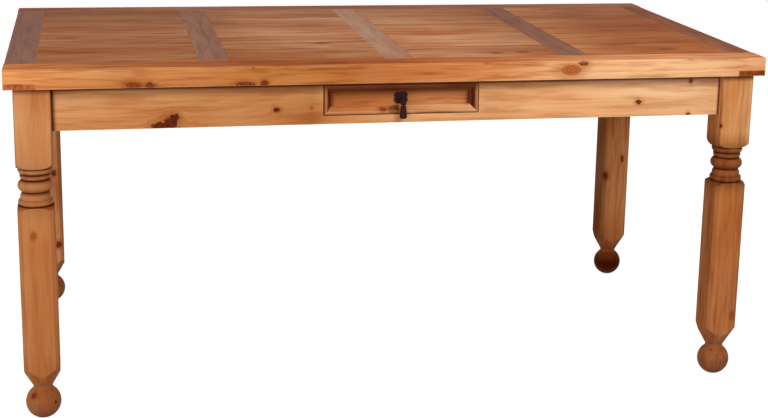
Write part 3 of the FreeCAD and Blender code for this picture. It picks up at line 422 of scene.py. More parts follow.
@dataclass(frozen=True)
class PineFinish:
    """Planed pine: pale earlywood with darker latewood lines, knots, and a stain that pools unevenly."""

    name: str
    earlywood: str
    latewood: str
    stain: str
    streak: str
    blotch: str
    end_grain: str
    knot: str
    pale_knot: str
    bark: str
    # Painted shade in creases, recesses and under overhangs, with darker lines at joints and turnings
    grime: str
    # Wear on the arrises, and a painted highlight along them
    worn_and_highlight: str
    # A painted grey sheen on the upward faces
    sheen_grey: str
    roughness: Flat
    specular: float
    ring_mm: float = 8.0
    sway_mm: Flat = (620.0, 150.0)
    sway_depth_mm: float = 60.0
    wobble_mm: Flat = (170.0, 26.0)
    wobble_depth_mm: float = 11.0
    late_rise: Ramp = (0.25, 0.88, 0.0, 1.0)
    late_fall: Ramp = (1.0, 0.9, 0.0, 1.0)
    patch_mm: Flat = (170.0, 60.0)
    patch_clearness: Ramp = (0.3, 0.7, 0.1, 1.0)
    ring_strength: Ramp = (0.0, 1.0, 0.1, 0.6)
    bands: StainLayer = StainLayer((420.0, 24.0), 0.38, 0.7, 0.3)
    streaks: StainLayer = StainLayer((520.0, 8.0), 0.5, 0.7, 0.4)
    flecks: StainLayer = StainLayer((120.0, 13.0), 0.5, 0.66, 0.75, 3.0)
    # True fibres are a tenth of this across: drawn coarser so that they show in the render
    fibres: StainLayer = StainLayer((90.0, 2.2), 0.5, 0.8, 0.3, 3.0)
    blotches: StainLayer = StainLayer((420.0, 110.0), 0.32, 0.68, 1.0)
    ragged_mm: float = 8.0
    ragged_detail: float = 1.5
    # Distances round a knot are in its radii
    ragged_depth: float = 1.3
    ring_bend: float = 1.1
    knot_halo: Ramp = (2.4, 1.0, 0.0, 0.5)
    knot_core: Ramp = (1.08, 0.8, 0.0, 0.95)
    knot_rings: float = 2.5
    knot_lines: Ramp = (0.0, 1.0, 0.0, 0.35)
    bark_at: float = 0.9
    bark_ring: Ramp = (0.25, 0.05, 0.0, 0.5)
    bark_inside: Ramp = (1.0, 0.6, 0.0, 0.6)
    bark_depth: Ramp = (0.0, 1.0, 0.3, 1.0)
    crack_mm: float = 4.0
    crack_detail: float = 2.0
    crack_edge: Flat = (0.48, 0.6)
    end_facing: Flat = (0.25, 0.95)
    # How far the arrises are paled, for wear and as a painted highlight
    arris_wear_and_highlight: float = 0.2
    fibre_span: Flat = (0.3, 0.7)
    ring_relief: float = 0.6
    relief_mm: float = 0.25
    relief: float = 0.5
    # The lathe burnishes what it turns
    lathe_polish: float = 0.2

    def material(self, knot_tree: Tree) -> Material:
        """Build the finish.

        Args:
            knot_tree: The node group that measures one knot.

        Returns:
            The material, which reads the fields that the boards carry.
        """
        made = bare_material(self.name)
        tree = made.node_tree
        fields = {}
        for names, kind in ((VECTOR_FIELDS, "Vector"), (NUMBER_FIELDS + TOOL_MARKS, "Fac")):
            for name in names:
                fields[name] = add(tree, "ShaderNodeAttribute", attribute_name=name).outputs[kind]
        timber = fields["timber"]
        nearest, dark, swell = self.knots(tree, timber, knot_tree)
        late = self.rings(tree, timber, swell, fields["figure"])
        fibre = self.noise(tree, timber, self.fibres.size_mm, self.fibres.detail)
        colour = self.stained(tree, fields, late, fibre)
        colour = self.knotted(tree, colour, nearest, dark)
        colour = self.aged(tree, fields, colour)
        rough = add(tree, "ShaderNodeMapRange", fibre, *self.fibre_span, *self.roughness)
        rough = add(tree, "ShaderNodeMath", fields["turned"], -self.lathe_polish, rough,
                    operation="MULTIPLY_ADD")
        height = add(tree, "ShaderNodeMath", late, self.ring_relief, fibre, operation="MULTIPLY_ADD")
        bump = add(tree, "ShaderNodeBump", self.relief, self.relief_mm * MM, named={"Height": height})
        shader = add(tree, "ShaderNodeBsdfPrincipled", named={
            "Base Color": colour, "Roughness": rough, "Normal": bump, "Specular IOR Level": self.specular})
        add(tree, "ShaderNodeOutputMaterial", shader)
        return made

    def noise(self, tree: Tree, timber: Socket, size_mm: Flat, detail: float = 1.0) -> Node:
        """Add soft noise whose cells are drawn out along the grain.

        Args:
            tree: The material's nodes.
            timber: The log coordinates.
            size_mm: A cell's length along and across the grain.
            detail: How many finer layers it has.

        Returns:
            The noise, about 0.5 in the middle.
        """
        along, across = (1 / (size * MM) for size in size_mm)
        scaled = add(tree, "ShaderNodeVectorMath", timber, (along, across, across), operation="MULTIPLY")
        return add(tree, "ShaderNodeTexNoise", scaled, 1.0, detail)

    def knots(self, tree: Tree, timber: Socket, knot_tree: Tree) -> tuple[Socket, ...]:
        """Measure the board's knots, with ragged outlines.

        Args:
            tree: The material's nodes.
            timber: The log coordinates.
            knot_tree: The node group that measures one knot.

        Returns:
            Distance to the nearest knot in its radii, that knot's darkness, and how far rings bend.
        """
        ragged = add(tree, "ShaderNodeTexNoise", timber, 1 / (self.ragged_mm * MM), self.ragged_detail)
        centred = add(tree, "ShaderNodeVectorMath", ragged.outputs["Color"], (0.5, 0.5, 0.5),
                      operation="SUBTRACT")
        torn = add(tree, "ShaderNodeVectorMath", centred, self.ragged_depth, operation="SCALE")
        found: Any = (NO_KNOT_NEAR, 0.0, 0.0)
        for slot in range(KNOT_SLOTS):
            centre, form = (
                add(tree, "ShaderNodeAttribute", attribute_name=f"{name}_{slot}").outputs["Vector"]
                for name in ("knot", "knot_form"))
            found = add(tree, "ShaderNodeGroup", timber, torn, centre, form, *found,
                        node_tree=knot_tree).outputs
        return tuple(found)

    def rings(self, tree: Tree, timber: Socket, swell: Socket, figure: Socket) -> Node:
        """Add the growth rings, which sway along the log and bend round knots.

        Args:
            tree: The material's nodes.
            timber: The log coordinates.
            swell: How far the rings bend round knots.
            figure: How plainly they show.

        Returns:
            Latewood, from 0 to 1.
        """
        flat = add(tree, "ShaderNodeVectorMath", timber, (0.0, 1.0, 1.0), operation="MULTIPLY")
        radius = add(tree, "ShaderNodeVectorMath", flat, operation="LENGTH")
        radius = add(tree, "ShaderNodeMath", swell, self.ring_bend, radius, operation="MULTIPLY_ADD")
        for size, depth in ((self.sway_mm, self.sway_depth_mm), (self.wobble_mm, self.wobble_depth_mm)):
            noise = self.noise(tree, timber, size)
            radius = add(tree, "ShaderNodeMath", noise, depth * MM, radius, operation="MULTIPLY_ADD")
        years = add(tree, "ShaderNodeMath", radius, self.ring_mm * MM, operation="DIVIDE")
        season, year = (add(tree, "ShaderNodeMath", years, operation=part) for part in ("FRACT", "FLOOR"))
        late, fall = (add(tree, "ShaderNodeMapRange", season, *ramp, interpolation_type="SMOOTHSTEP")
                      for ramp in (self.late_rise, self.late_fall))
        vigour = add(tree, "ShaderNodeTexWhiteNoise", year, noise_dimensions="1D")
        strength = add(tree, "ShaderNodeMapRange", vigour, *self.ring_strength)
        patches = self.noise(tree, timber, self.patch_mm)
        clear = add(tree, "ShaderNodeMapRange", patches, *self.patch_clearness)
        for share in (fall, strength, clear, figure):
            late = add(tree, "ShaderNodeMath", late, share, operation="MULTIPLY")
        return late

    def stained(self, tree: Tree, fields: dict[str, Socket], late: Node, fibre: Node) -> Any:
        """Lay the stain on: streaks along the grain, blotches and the board's own tone and hue.

        Args:
            tree: The material's nodes.
            fields: The board's fields.
            late: The latewood.
            fibre: The fibre noise.

        Returns:
            The stained colour.
        """
        layers: list[tuple[Any, Any, str]] = [(late, self.latewood, "MIX")]
        for layer in (self.bands, self.streaks, self.flecks, self.fibres, self.blotches):
            noise = fibre
            if layer is not self.fibres:
                noise = self.noise(tree, fields["timber"], layer.size_mm, layer.detail)
            share = add(tree, "ShaderNodeMapRange", noise, layer.start, layer.full, 0.0, layer.depth)
            if layer is self.blotches:
                layers.append((share, self.blotch, "MULTIPLY"))
            else:
                plain = add(tree, "ShaderNodeMath", share, fields["figure"], operation="MULTIPLY")
                layers.append((plain, self.streak, "MULTIPLY"))
        layers += [(fields["tone"], self.stain, "MULTIPLY"), (1.0, fields["hue"], "MULTIPLY")]
        return layered(tree, linear(self.earlywood), layers)

    def knotted(self, tree: Tree, colour: Any, nearest: Socket, dark: Socket) -> Any:
        """Paint the knots: a warm halo, the hard ringed core, and torn bark on and round it.

        Args:
            tree: The material's nodes.
            colour: The stained wood.
            nearest: Distance to the nearest knot, in its radii.
            dark: That knot's darkness.

        Returns:
            The colour with its knots.
        """
        turns = add(tree, "ShaderNodeMath", nearest, math.tau * self.knot_rings, operation="MULTIPLY")
        wave = add(tree, "ShaderNodeMath", turns, operation="SINE")
        lines = add(tree, "ShaderNodeMapRange", wave, *self.knot_lines)
        depth = add(tree, "ShaderNodeMath", dark, lines, operation="ADD")
        core = layered(tree, linear(self.pale_knot), [(depth, self.knot, "MIX")])
        halo, hard = (add(tree, "ShaderNodeMapRange", nearest, *ramp, interpolation_type="SMOOTHSTEP")
                      for ramp in (self.knot_halo, self.knot_core))
        rim = add(tree, "ShaderNodeMath", nearest, self.bark_at, operation="SUBTRACT")
        off_rim = add(tree, "ShaderNodeMath", rim, operation="ABSOLUTE")
        ring = add(tree, "ShaderNodeMapRange", off_rim, *self.bark_ring)
        inside = add(tree, "ShaderNodeMapRange", nearest, *self.bark_inside)
        bark = add(tree, "ShaderNodeMath", ring, inside, operation="MAXIMUM")
        place = add(tree, "ShaderNodeTexCoord").outputs["Object"]
        cracks = add(tree, "ShaderNodeTexNoise", place, 1 / (self.crack_mm * MM), self.crack_detail)
        broken = add(tree, "ShaderNodeMapRange", cracks, *self.crack_edge)
        deep = add(tree, "ShaderNodeMapRange", dark, *self.bark_depth)
        for share in (broken, deep):
            bark = add(tree, "ShaderNodeMath", bark, share, operation="MULTIPLY")
        return layered(tree, colour, [
            (halo, self.streak, "MULTIPLY"), (hard, core, "MIX"), (bark, self.bark, "MIX")])

    def aged(self, tree: Tree, fields: dict[str, Socket], colour: Any) -> Any:
        """Darken end grain, paint shade into creases, paint a grey sheen on the upper faces, and pale the
        arrises for wear and a painted highlight.

        Args:
            tree: The material's nodes.
            fields: The board's fields.
            colour: The knotted wood.

        Returns:
            The finished colour.
        """
        facing = add(tree, "ShaderNodeTexCoord").outputs["Normal"]
        along = add(tree, "ShaderNodeVectorMath", facing, fields["grain"], operation="DOT_PRODUCT")
        end = add(tree, "ShaderNodeMath", along, operation="ABSOLUTE")
        end = add(tree, "ShaderNodeMapRange", end, *self.end_facing)
        up = add(tree, "ShaderNodeSeparateXYZ", facing).outputs["Z"]
        dull = add(tree, "ShaderNodeMath", fields["dull"], up, operation="MULTIPLY")
        worn_and_highlight = add(tree, "ShaderNodeMath", fields["arris"], self.arris_wear_and_highlight, operation="MULTIPLY")
        grime = add(tree, "ShaderNodeMath", fields["grime"], fields["groove"], operation="MAXIMUM")
        return layered(tree, colour, [
            (end, self.end_grain, "MULTIPLY"), (dull, self.sheen_grey, "MIX"), (worn_and_highlight, self.worn_and_highlight, "MIX"),
            (grime, self.grime, "MULTIPLY")])


@dataclass(frozen=True)
class ForgedIron:
    """Wrought iron, forged and blackened with oil: a lustreless brown-black skin, polished bright on high
    spots, the bright arrises also painted glints.
    """

    name: str = "blackened_iron"
    skin: str = "#210B07"
    rust: str = "#33120B"
    rubbed_and_glint: str = "#A88C74"
    specular: float = 0.1
    roughness: Flat = (0.32, 0.6)
    rusting: Flat = (0.45, 0.7)
    hammer_mm: float = 5.0
    scale_mm: float = 1.2
    scale_detail: float = 3.0
    scale_relief: float = 0.15
    relief_mm: float = 0.5
    relief: float = 0.6

    def material(self) -> Material:
        """Build the finish.

        Returns:
            The material.
        """
        made = bare_material(self.name)
        tree = made.node_tree
        place = add(tree, "ShaderNodeTexCoord").outputs["Object"]
        hammer = add(tree, "ShaderNodeTexVoronoi", place, 1 / (self.hammer_mm * MM), feature="SMOOTH_F1")
        scale = add(tree, "ShaderNodeTexNoise", place, 1 / (self.scale_mm * MM), self.scale_detail)
        rusty = add(tree, "ShaderNodeMapRange", scale, *self.rusting)
        # The arrises are paled for wear and as painted glints
        arris = add(tree, "ShaderNodeAttribute", attribute_name="arris").outputs["Fac"]
        worn_and_highlight = add(tree, "ShaderNodeMath", arris, scale, operation="MULTIPLY")
        colour = layered(tree, linear(self.skin), [(rusty, self.rust, "MIX"), (worn_and_highlight, self.rubbed_and_glint, "MIX")])
        rough = add(tree, "ShaderNodeMapRange", scale, 0.0, 1.0, *self.roughness)
        height = add(tree, "ShaderNodeMath", scale, self.scale_relief, hammer, operation="MULTIPLY_ADD")
        bump = add(tree, "ShaderNodeBump", self.relief, self.relief_mm * MM, named={"Height": height})
        shader = add(tree, "ShaderNodeBsdfPrincipled", named={
            "Base Color": colour, "Roughness": rough, "Normal": bump, "Specular IOR Level": self.specular})
        add(tree, "ShaderNodeOutputMaterial", shader)
        return made


@dataclass(frozen=True)
class ZincSteel:
    """Mild steel, bright zinc plated: pale grey, with soft spangles and handling marks."""

    name: str = "bright_zinc_steel"
    bright: str = "#B9B8B2"
    dull: str = "#8C8A84"
    roughness: Flat = (0.28, 0.48)
    spangle_mm: float = 1.5
    spangle_detail: float = 2.0

    def material(self) -> Material:
        """Build the finish.

        Returns:
            The material.
        """
        made = bare_material(self.name)
        tree = made.node_tree
        place = add(tree, "ShaderNodeTexCoord").outputs["Object"]
        spangle = add(tree, "ShaderNodeTexNoise", place, 1 / (self.spangle_mm * MM), self.spangle_detail)
        colour = layered(tree, linear(self.bright), [(spangle, self.dull, "MIX")])
        rough = add(tree, "ShaderNodeMapRange", spangle, 0.0, 1.0, *self.roughness)
        shader = add(tree, "ShaderNodeBsdfPrincipled",
                     named={"Base Color": colour, "Metallic": 1.0, "Roughness": rough})
        add(tree, "ShaderNodeOutputMaterial", shader)
        return made


# Stained and waxed: a warm honey colour, streaked along the grain, with a low sheen
WAXED_PINE = PineFinish(
    name="honey_waxed_pine", earlywood="#FCCEA0", latewood="#CB9064", stain="#BC9C7A", streak="#C79B70",
    blotch="#E5BD94", end_grain="#E2C2A2", knot="#5E1F0D", pale_knot="#B4632F", bark="#2A0F07",
    grime="#6B3A1C", worn_and_highlight="#F6D3AC", sheen_grey="#8C7A74", roughness=(0.58, 0.74), specular=0.022,
)
# Planed and left bare: pale straw, matt, with quieter streaks
BARE_PINE = PineFinish(
    name="planed_bare_pine", earlywood="#EBCB9E", latewood="#CFA06A", stain="#C29A70", streak="#D4B48C",
    blotch="#E6CFAE", end_grain="#D0B08A", knot="#6B3A1E", pale_knot="#B07E4E", bark="#3E2110",
    grime="#8A6440", worn_and_highlight="#F0DAB8", sheen_grey="#CFC2B4", roughness=(0.68, 0.82), specular=0.2,
)


class Finishes:
    """The finishes of the table, by the record's material slots."""

    def __init__(self) -> None:
        """Build each finish once."""
        knot_tree = knot_group()
        self.by_slot = {
            "waxed_pine": WAXED_PINE.material(knot_tree),
            "bare_pine": BARE_PINE.material(knot_tree),
            "black_iron": ForgedIron().material(),
            "zinc_steel": ZincSteel().material(),
        }
        record = frame["record"]
        self.slots = {part["node"]: part["material_slot"] for part in record["subparts"]}
        self.bodies = {node: body for body, nodes in record["behaviour"]["bodies"].items() for node in nodes}

    def of(self, node: str) -> Material:
        """Give the finish of a node."""
        return self.by_slot[self.slots[node]]

    def dress(self, node: str, mesh: Mesh) -> None:
        """Put a finished mesh into the scene in place of a node.

        Args:
            node: The node that the mesh stands for.
            mesh: The finished mesh.
        """
        mesh.materials.clear()
        mesh.materials.append(self.of(node))
        piece = placed(f"dressed_{node}", mesh)
        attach(piece, self.bodies[node])
        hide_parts(node)
        log.info("%s: %d faces in %s", piece.name, len(mesh.polygons), self.slots[node])


@dataclass(frozen=True)
class Easing:
    """Which edges of a piece are eased: long ones between broad faces, in widths of the easing."""

    least_length: float = 6.0
    least_breadth: float = 8.0
    # Flat enough to be one face, and sharp enough to be an arris, in degrees
    flat: float = 1.0
    sharp: float = 35.0
    steps: int = 2

    def copy(self, node: str, width_mm: float) -> Mesh:
        """Copy a node's mesh with its outer edges eased, and mark the eased faces.

        Args:
            node: The node to copy.
            width_mm: Width of the easing.

        Returns:
            The new mesh, flat shaded, with an arris field.
        """
        width = width_mm * MM
        work = bmesh.new()
        work.from_mesh(frame["nodes"][node].data)
        bmesh.ops.remove_doubles(work, verts=work.verts, dist=MERGE)
        bmesh.ops.dissolve_limit(work, angle_limit=math.radians(self.flat), verts=work.verts,
                                 edges=work.edges)
        chosen = []
        for edge in work.edges:
            short = edge.calc_length() < self.least_length * width
            if short or len(edge.link_faces) != 2 or not edge.is_convex:
                continue
            area = min(face.calc_area() for face in edge.link_faces)
            broad = area > (self.least_breadth * width) ** 2
            if broad and edge.calc_face_angle() > math.radians(self.sharp):
                chosen.append(edge)
        arris = work.faces.layers.float.new("arris")
        eased = bmesh.ops.bevel(work, geom=chosen, offset=width, offset_type="OFFSET", segments=self.steps,
                                profile=0.5, affect="EDGES", clamp_overlap=False, loop_slide=True)
        for face in eased["faces"]:
            face[arris] = 1.0
        for face in work.faces:
            face.smooth = False
        mesh = bpy.data.meshes.new(f"{node}_eased")
        work.to_mesh(mesh)
        work.free()
        return mesh


EASING = Easing()


def slice_mesh(mesh: Mesh, planes: Sequence[tuple[Axis, float]]) -> None:
    """Give a mesh points where planes cross it.

    Args:
        mesh: The mesh to slice.
        planes: One axis and one place in millimetres for each plane.
    """
    work = bmesh.new()
    work.from_mesh(mesh)
    for axis, place in planes:
        across = [float(index == axis.value) for index in range(3)]
        parts = list(work.verts) + list(work.edges) + list(work.faces)
        bmesh.ops.bisect_plane(work, geom=parts, dist=SNAP, plane_co=Vector(across) * place * MM,
                               plane_no=across)
    work.to_mesh(mesh)
    work.free()


def dress_board(finishes: Finishes, node: str, timber: Timber, mesh: Mesh) -> None:
    """Dress one piece of pine.

    Args:
        finishes: The table's finishes.
        node: The piece's node.
        timber: How it was cut.
        mesh: Its shape.
    """
    slice_mesh(mesh, timber.planes())
    field = GrainField(mesh)
    field.cut(timber, node)
    field.store()
    finishes.dress(node, mesh)


def dress_boards(finishes: Finishes, timbers: dict[str, Timber], ease_mm: float) -> None:
    """Dress planed boards.

    Args:
        finishes: The table's finishes.
        timbers: How each was cut, by node.
        ease_mm: Easing of their arrises.
    """
    for node, timber in timbers.items():
        dress_board(finishes, node, timber, EASING.copy(node, ease_mm))


def geometry_tree(name: str, inputs: dict[str, str]) -> tuple[Tree, Any]:
    """Start a geometry node tree with named inputs.

    Args:
        name: The tree's name.
        inputs: Names of the inputs after the geometry, by kind of socket.

    Returns:
        The tree and its input sockets.
    """
    tree = bpy.data.node_groups.new(name, "GeometryNodeTree")
    for way in ("INPUT", "OUTPUT"):
        tree.interface.new_socket("Geometry", in_out=way, socket_type="NodeSocketGeometry")
    for kind, labels in inputs.items():
        for label in labels.split(", "):
            tree.interface.new_socket(label, in_out="INPUT", socket_type=f"NodeSocket{kind}")
    return tree, tree.nodes.new("NodeGroupInput").outputs


def end_tree(tree: Tree, shape: Node, finish: Socket) -> None:
    """Close a geometry tree: instances made real and the finish set.

    Args:
        tree: The tree.
        shape: What it has made.
        finish: The material to set.
    """
    real = add(tree, "GeometryNodeRealizeInstances", shape)
    dressed = add(tree, "GeometryNodeSetMaterial", real, named={"Material": finish})
    add(tree, "NodeGroupOutput", dressed)


def grown(tree: Tree, start: Mesh, sizes: dict[str, Any]) -> Mesh:
    """Run a geometry tree on a mesh.

    Args:
        tree: The tree.
        start: The mesh that it starts from.
        sizes: Values of its inputs, by name.

    Returns:
        The result as a plain mesh.
    """
    holder = placed(tree.name, start)
    modifier = holder.modifiers.new(tree.name, "NODES")
    modifier.node_group = tree
    for item in tree.interface.items_tree:
        if item.item_type == "SOCKET" and item.in_out == "INPUT" and item.name in sizes:
            modifier[item.identifier] = sizes[item.name]
    graph = bpy.context.evaluated_depsgraph_get()
    mesh = bpy.data.meshes.new_from_object(holder.evaluated_get(graph), depsgraph=graph)
    holder.modifiers.remove(modifier)
    bpy.data.objects.remove(holder)
    return mesh


def point_mesh(name: str, points: Sequence[Sequence[float]]) -> Mesh:
    """Make a mesh of loose points.

    Args:
        name: The mesh's name.
        points: The points, in metres.

    Returns:
        The mesh.
    """
    mesh = bpy.data.meshes.new(name)
    mesh.from_pydata([tuple(point) for point in points], [], [])
    return mesh


@dataclass
class TableTop:
    """The framed top: outer rails, cross rails and four panels of tongued boards."""

    rail_ease: float = 1.0
    board_ease: float = 0.5
    ease_steps: int = 3
    board_joint: float = 0.3
    board_thickness: float = 28.0
    boards_per_panel: int = 5
    unevenness: float = 0.12
    heart_aside: Flat = (-55.0, 55.0)
    heart_below: Flat = (35.0, 95.0)
    # Painted grey sheen on each board's top, rising towards the back
    panel_sheen: tuple[float, ...] = (0.02, 0.03, 0.06, 0.12, 0.18)
    panel_figure: float = 0.9
    ruddy: tuple[str, str] = ("#FFF4F4", "#FFF4F4")
    # The stain is deepest left of the middle of the front rail
    front_shade: tuple[Flat, ...] = (
        (-820, 0.15), (-740, 0.38), (-600, 0.7), (-420, 0.78), (-300, 1.0), (-170, 1.0), (-60, 0.75),
        (60, 0.48), (180, 0.34), (420, 0.22), (540, 0.02), (700, 0.08), (820, 0.25),
    )

    def rails(self) -> dict[str, Timber]:
        """Say how each rail was cut.

        Returns:
            The timber by node.
        """
        front = (
            Knot((366, -440, 742), 12.0, 0.1, 1.9), Knot((393, -440, 756), 5.5, 0.6, 2.2),
            Knot((-564, -440, 725), 7.0, 0.6, 2.0), Knot((-531, -440, 726), 6.5, 0.7, 1.2),
            Knot((-337, -440, 724), 6.5, 0.65, 3.2), Knot((-298, -440, 726), 6.0, 0.75, 1.4),
            Knot((-321, -440, 759), 2.4, 0.9, 0.7), Knot((640, -440, 762), 2.6, 0.9, 4.0),
            Knot((178, -440, 761), 2.4, 0.9, 2.8),
        )
        left_cross = (Knot((-424, 189, 762), 6.0, 0.6, 1.6),)
        # The rails' top faces carry painted light: a grey sheen, and on the long rails a tint painted on the
        # top face alone
        return {
            "front_top_rail": Timber(Axis.X, (30.0, -95.0), 0.1, front, self.front_shade, figure=0.8,
                                     hue=("#FFEFD0", "#FFFFFF"), crown="#FFE3D0"),
            "rear_top_rail": Timber(Axis.X, (-35.0, -80.0), 0.8, STRAYS.over("rear_top_rail", 5), dull=0.25,
                                    crown="#F4E2DA"),
            "left_end_rail": Timber(Axis.Y, (40.0, -70.0), 1.0, shade=((-440, -0.5), (-415, 0.0)), dull=0.5,
                                    hue=self.ruddy),
            "right_end_rail": Timber(Axis.Y, (-50.0, -60.0), 1.0, dull=0.16, hue=("#E8D8D0", "#E8D8D0")),
            "left_cross_rail": Timber(Axis.Y, (25.0, -60.0), 0.95, left_cross, dull=0.4, hue=self.ruddy),
            "middle_cross_rail": Timber(Axis.Y, (-30.0, -70.0), 0.1, dull=0.48, figure=0.7, hue=self.ruddy),
            "right_cross_rail": Timber(Axis.Y, (45.0, -60.0), 1.0, dull=0.34, hue=("#E6D4D2", "#E6D4D2")),
        }

    def panel_knots(self) -> dict[tuple[str, int], tuple[Knot, ...]]:
        """Give the panel boards' knots.

        Returns:
            The knots by node and board, counted from the front.
        """
        return {
            ("left_middle_panel_boards", 1): (Knot((-140, -162, 762), 8.0, 0.5, 2.2),),
            ("right_middle_panel_boards", 0): (Knot((228, -322, 762), 7.0, 0.25, 1.8),
                                               Knot((292, -318, 762), 8.0, 0.25, 1.5)),
            ("right_panel_boards", 0): (Knot((633, -308, 762), 9.0, 0.3, 1.8),),
            ("right_panel_boards", 4): (Knot((536, 333, 762), 5.0, 0.7, 1.4),),
        }

    def panel_tones(self) -> dict[str, tuple[tuple[float, ...], tuple[Flat, ...], tuple[str, str]]]:
        """Give each panel's stain.

        Returns:
            Its boards' depths from the front, its change along them and its hue, by node.
        """
        return {
            "left_panel_boards": ((0.85, 0.7, 0.7, 0.78, 0.9), (), self.ruddy),
            "left_middle_panel_boards": (
                (0.75, 0.55, 0.45, 0.45, 0.6), ((-363, 0.25), (-260, 0.0)), self.ruddy),
            "right_middle_panel_boards": (
                (0.5, 0.22, 0.25, 0.35, 0.55), ((170, 0.0), (363, 0.42)), self.ruddy),
            "right_panel_boards": (
                (0.8, 0.95, 0.97, 0.97, 0.9), ((426, -0.4), (580, 0.0)), ("#FFEEE4", "#FFE6D2")),
        }

    def panel_tree(self) -> Tree:
        """Build the tree that lays boards side by side.

        Returns:
            The tree, which starts from nothing and numbers its boards in a plank field.
        """
        tree, given = geometry_tree("plank_panel", {
            "Float": "Length, Width, Thickness, Pitch, Ease, Unevenness", "Int": "Count, Seed",
            "Material": "Material"})
        half = add(tree, "ShaderNodeMath", given["Length"], 0.5, operation="MULTIPLY")
        other_half = add(tree, "ShaderNodeMath", half, -1.0, operation="MULTIPLY")
        ends = [add(tree, "ShaderNodeCombineXYZ", x) for x in (other_half, half)]
        line = add(tree, "GeometryNodeCurvePrimitiveLine", *ends)
        section = add(tree, "GeometryNodeCurvePrimitiveQuadrilateral", given["Width"], given["Thickness"])
        eased = add(tree, "GeometryNodeFilletCurve", section, self.ease_steps, given["Ease"], mode="POLY")
        plank = add(tree, "GeometryNodeCurveToMesh", line, eased, named={"Fill Caps": True})
        last = add(tree, "ShaderNodeMath", given["Count"], 1.0, operation="SUBTRACT")
        reach = add(tree, "ShaderNodeMath", last, given["Pitch"], operation="MULTIPLY")
        first = add(tree, "ShaderNodeMath", reach, -0.5, operation="MULTIPLY")
        front, step = (add(tree, "ShaderNodeCombineXYZ", named={"Y": y}) for y in (first, given["Pitch"]))
        row = add(tree, "GeometryNodeMeshLine", given["Count"], front, step)
        low = add(tree, "ShaderNodeMath", given["Unevenness"], -1.0, operation="MULTIPLY")
        lift = add(tree, "FunctionNodeRandomValue", low, 0.0, named={"Seed": given["Seed"]})
        raised = add(tree, "ShaderNodeCombineXYZ", named={"Z": lift})
        uneven = add(tree, "GeometryNodeSetPosition", row, named={"Offset": raised})
        laid = add(tree, "GeometryNodeInstanceOnPoints", uneven, named={"Instance": plank})
        number = add(tree, "GeometryNodeInputIndex")
        numbered = add(tree, "GeometryNodeStoreNamedAttribute", laid,
                       named={"Name": "plank", "Value": number}, data_type="INT", domain="INSTANCE")
        end_tree(tree, numbered, given["Material"])
        return tree

    def panel(self, finishes: Finishes, tree: Tree, node: str, seed: int) -> None:
        """Lay one panel of boards.

        Args:
            finishes: The table's finishes.
            tree: The tree that lays boards.
            node: The panel's node.
            seed: Number that makes this panel's boards its own.
        """
        left, right = self.between_rails(node)
        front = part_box("front_top_rail")[1].y
        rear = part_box("rear_top_rail")[0].y
        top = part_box(node)[1].z
        pitch = (rear - front) / self.boards_per_panel
        joint = self.board_joint * MM
        thickness = self.board_thickness * MM
        mesh = grown(tree, bpy.data.meshes.new(node), {
            "Length": right - left - 2 * joint, "Width": pitch - joint, "Thickness": thickness,
            "Pitch": pitch, "Count": self.boards_per_panel, "Ease": self.board_ease * MM,
            "Unevenness": self.unevenness * MM, "Seed": seed, "Material": finishes.of(node)})
        mesh.transform(Matrix.Translation(((left + right) / 2, (front + rear) / 2, top - thickness / 2)))
        mesh.shade_flat()
        tones, shade, hue = self.panel_tones()[node]
        slice_mesh(mesh, [(Axis.X, place) for place, _ in shade])
        planks = np.empty(len(mesh.vertices), np.int32)
        mesh.attributes["plank"].data.foreach_get("value", planks)
        chance = random.Random(node)
        field = GrainField(mesh)
        for index in range(self.boards_per_panel):
            heart = (chance.uniform(*self.heart_aside), -chance.uniform(*self.heart_below))
            knots = self.panel_knots().get((node, index), ())
            timber = Timber(Axis.X, heart, tones[index], knots, shade, dull=self.panel_sheen[index],
                            figure=self.panel_figure, hue=hue)
            field.cut(timber, f"{node}_{index}", planks == index)
        field.store()
        finishes.dress(node, mesh)

    def between_rails(self, node: str) -> Flat:
        """Find the rails' edges at both ends of a panel.

        Args:
            node: The panel's node, whose tongues reach into the rails.

        Returns:
            The inner edges on the left and on the right, in metres.
        """
        low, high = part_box(node)
        middle = (low.x + high.x) / 2
        boxes = [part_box(name) for name in self.rails() if "front" not in name and "rear" not in name]
        left = max(box[1].x for box in boxes if box[1].x < middle)
        right = min(box[0].x for box in boxes if box[0].x > middle)
        return left, right

    def build(self, finishes: Finishes) -> None:
        """Dress the rails and lay the panels.

        Args:
            finishes: The table's finishes.
        """
        dress_boards(finishes, self.rails(), self.rail_ease)
        tree = self.panel_tree()
        for seed, side in enumerate(("left", "left_middle", "right_middle", "right")):
            self.panel(finishes, tree, f"{side}_panel_boards", seed)


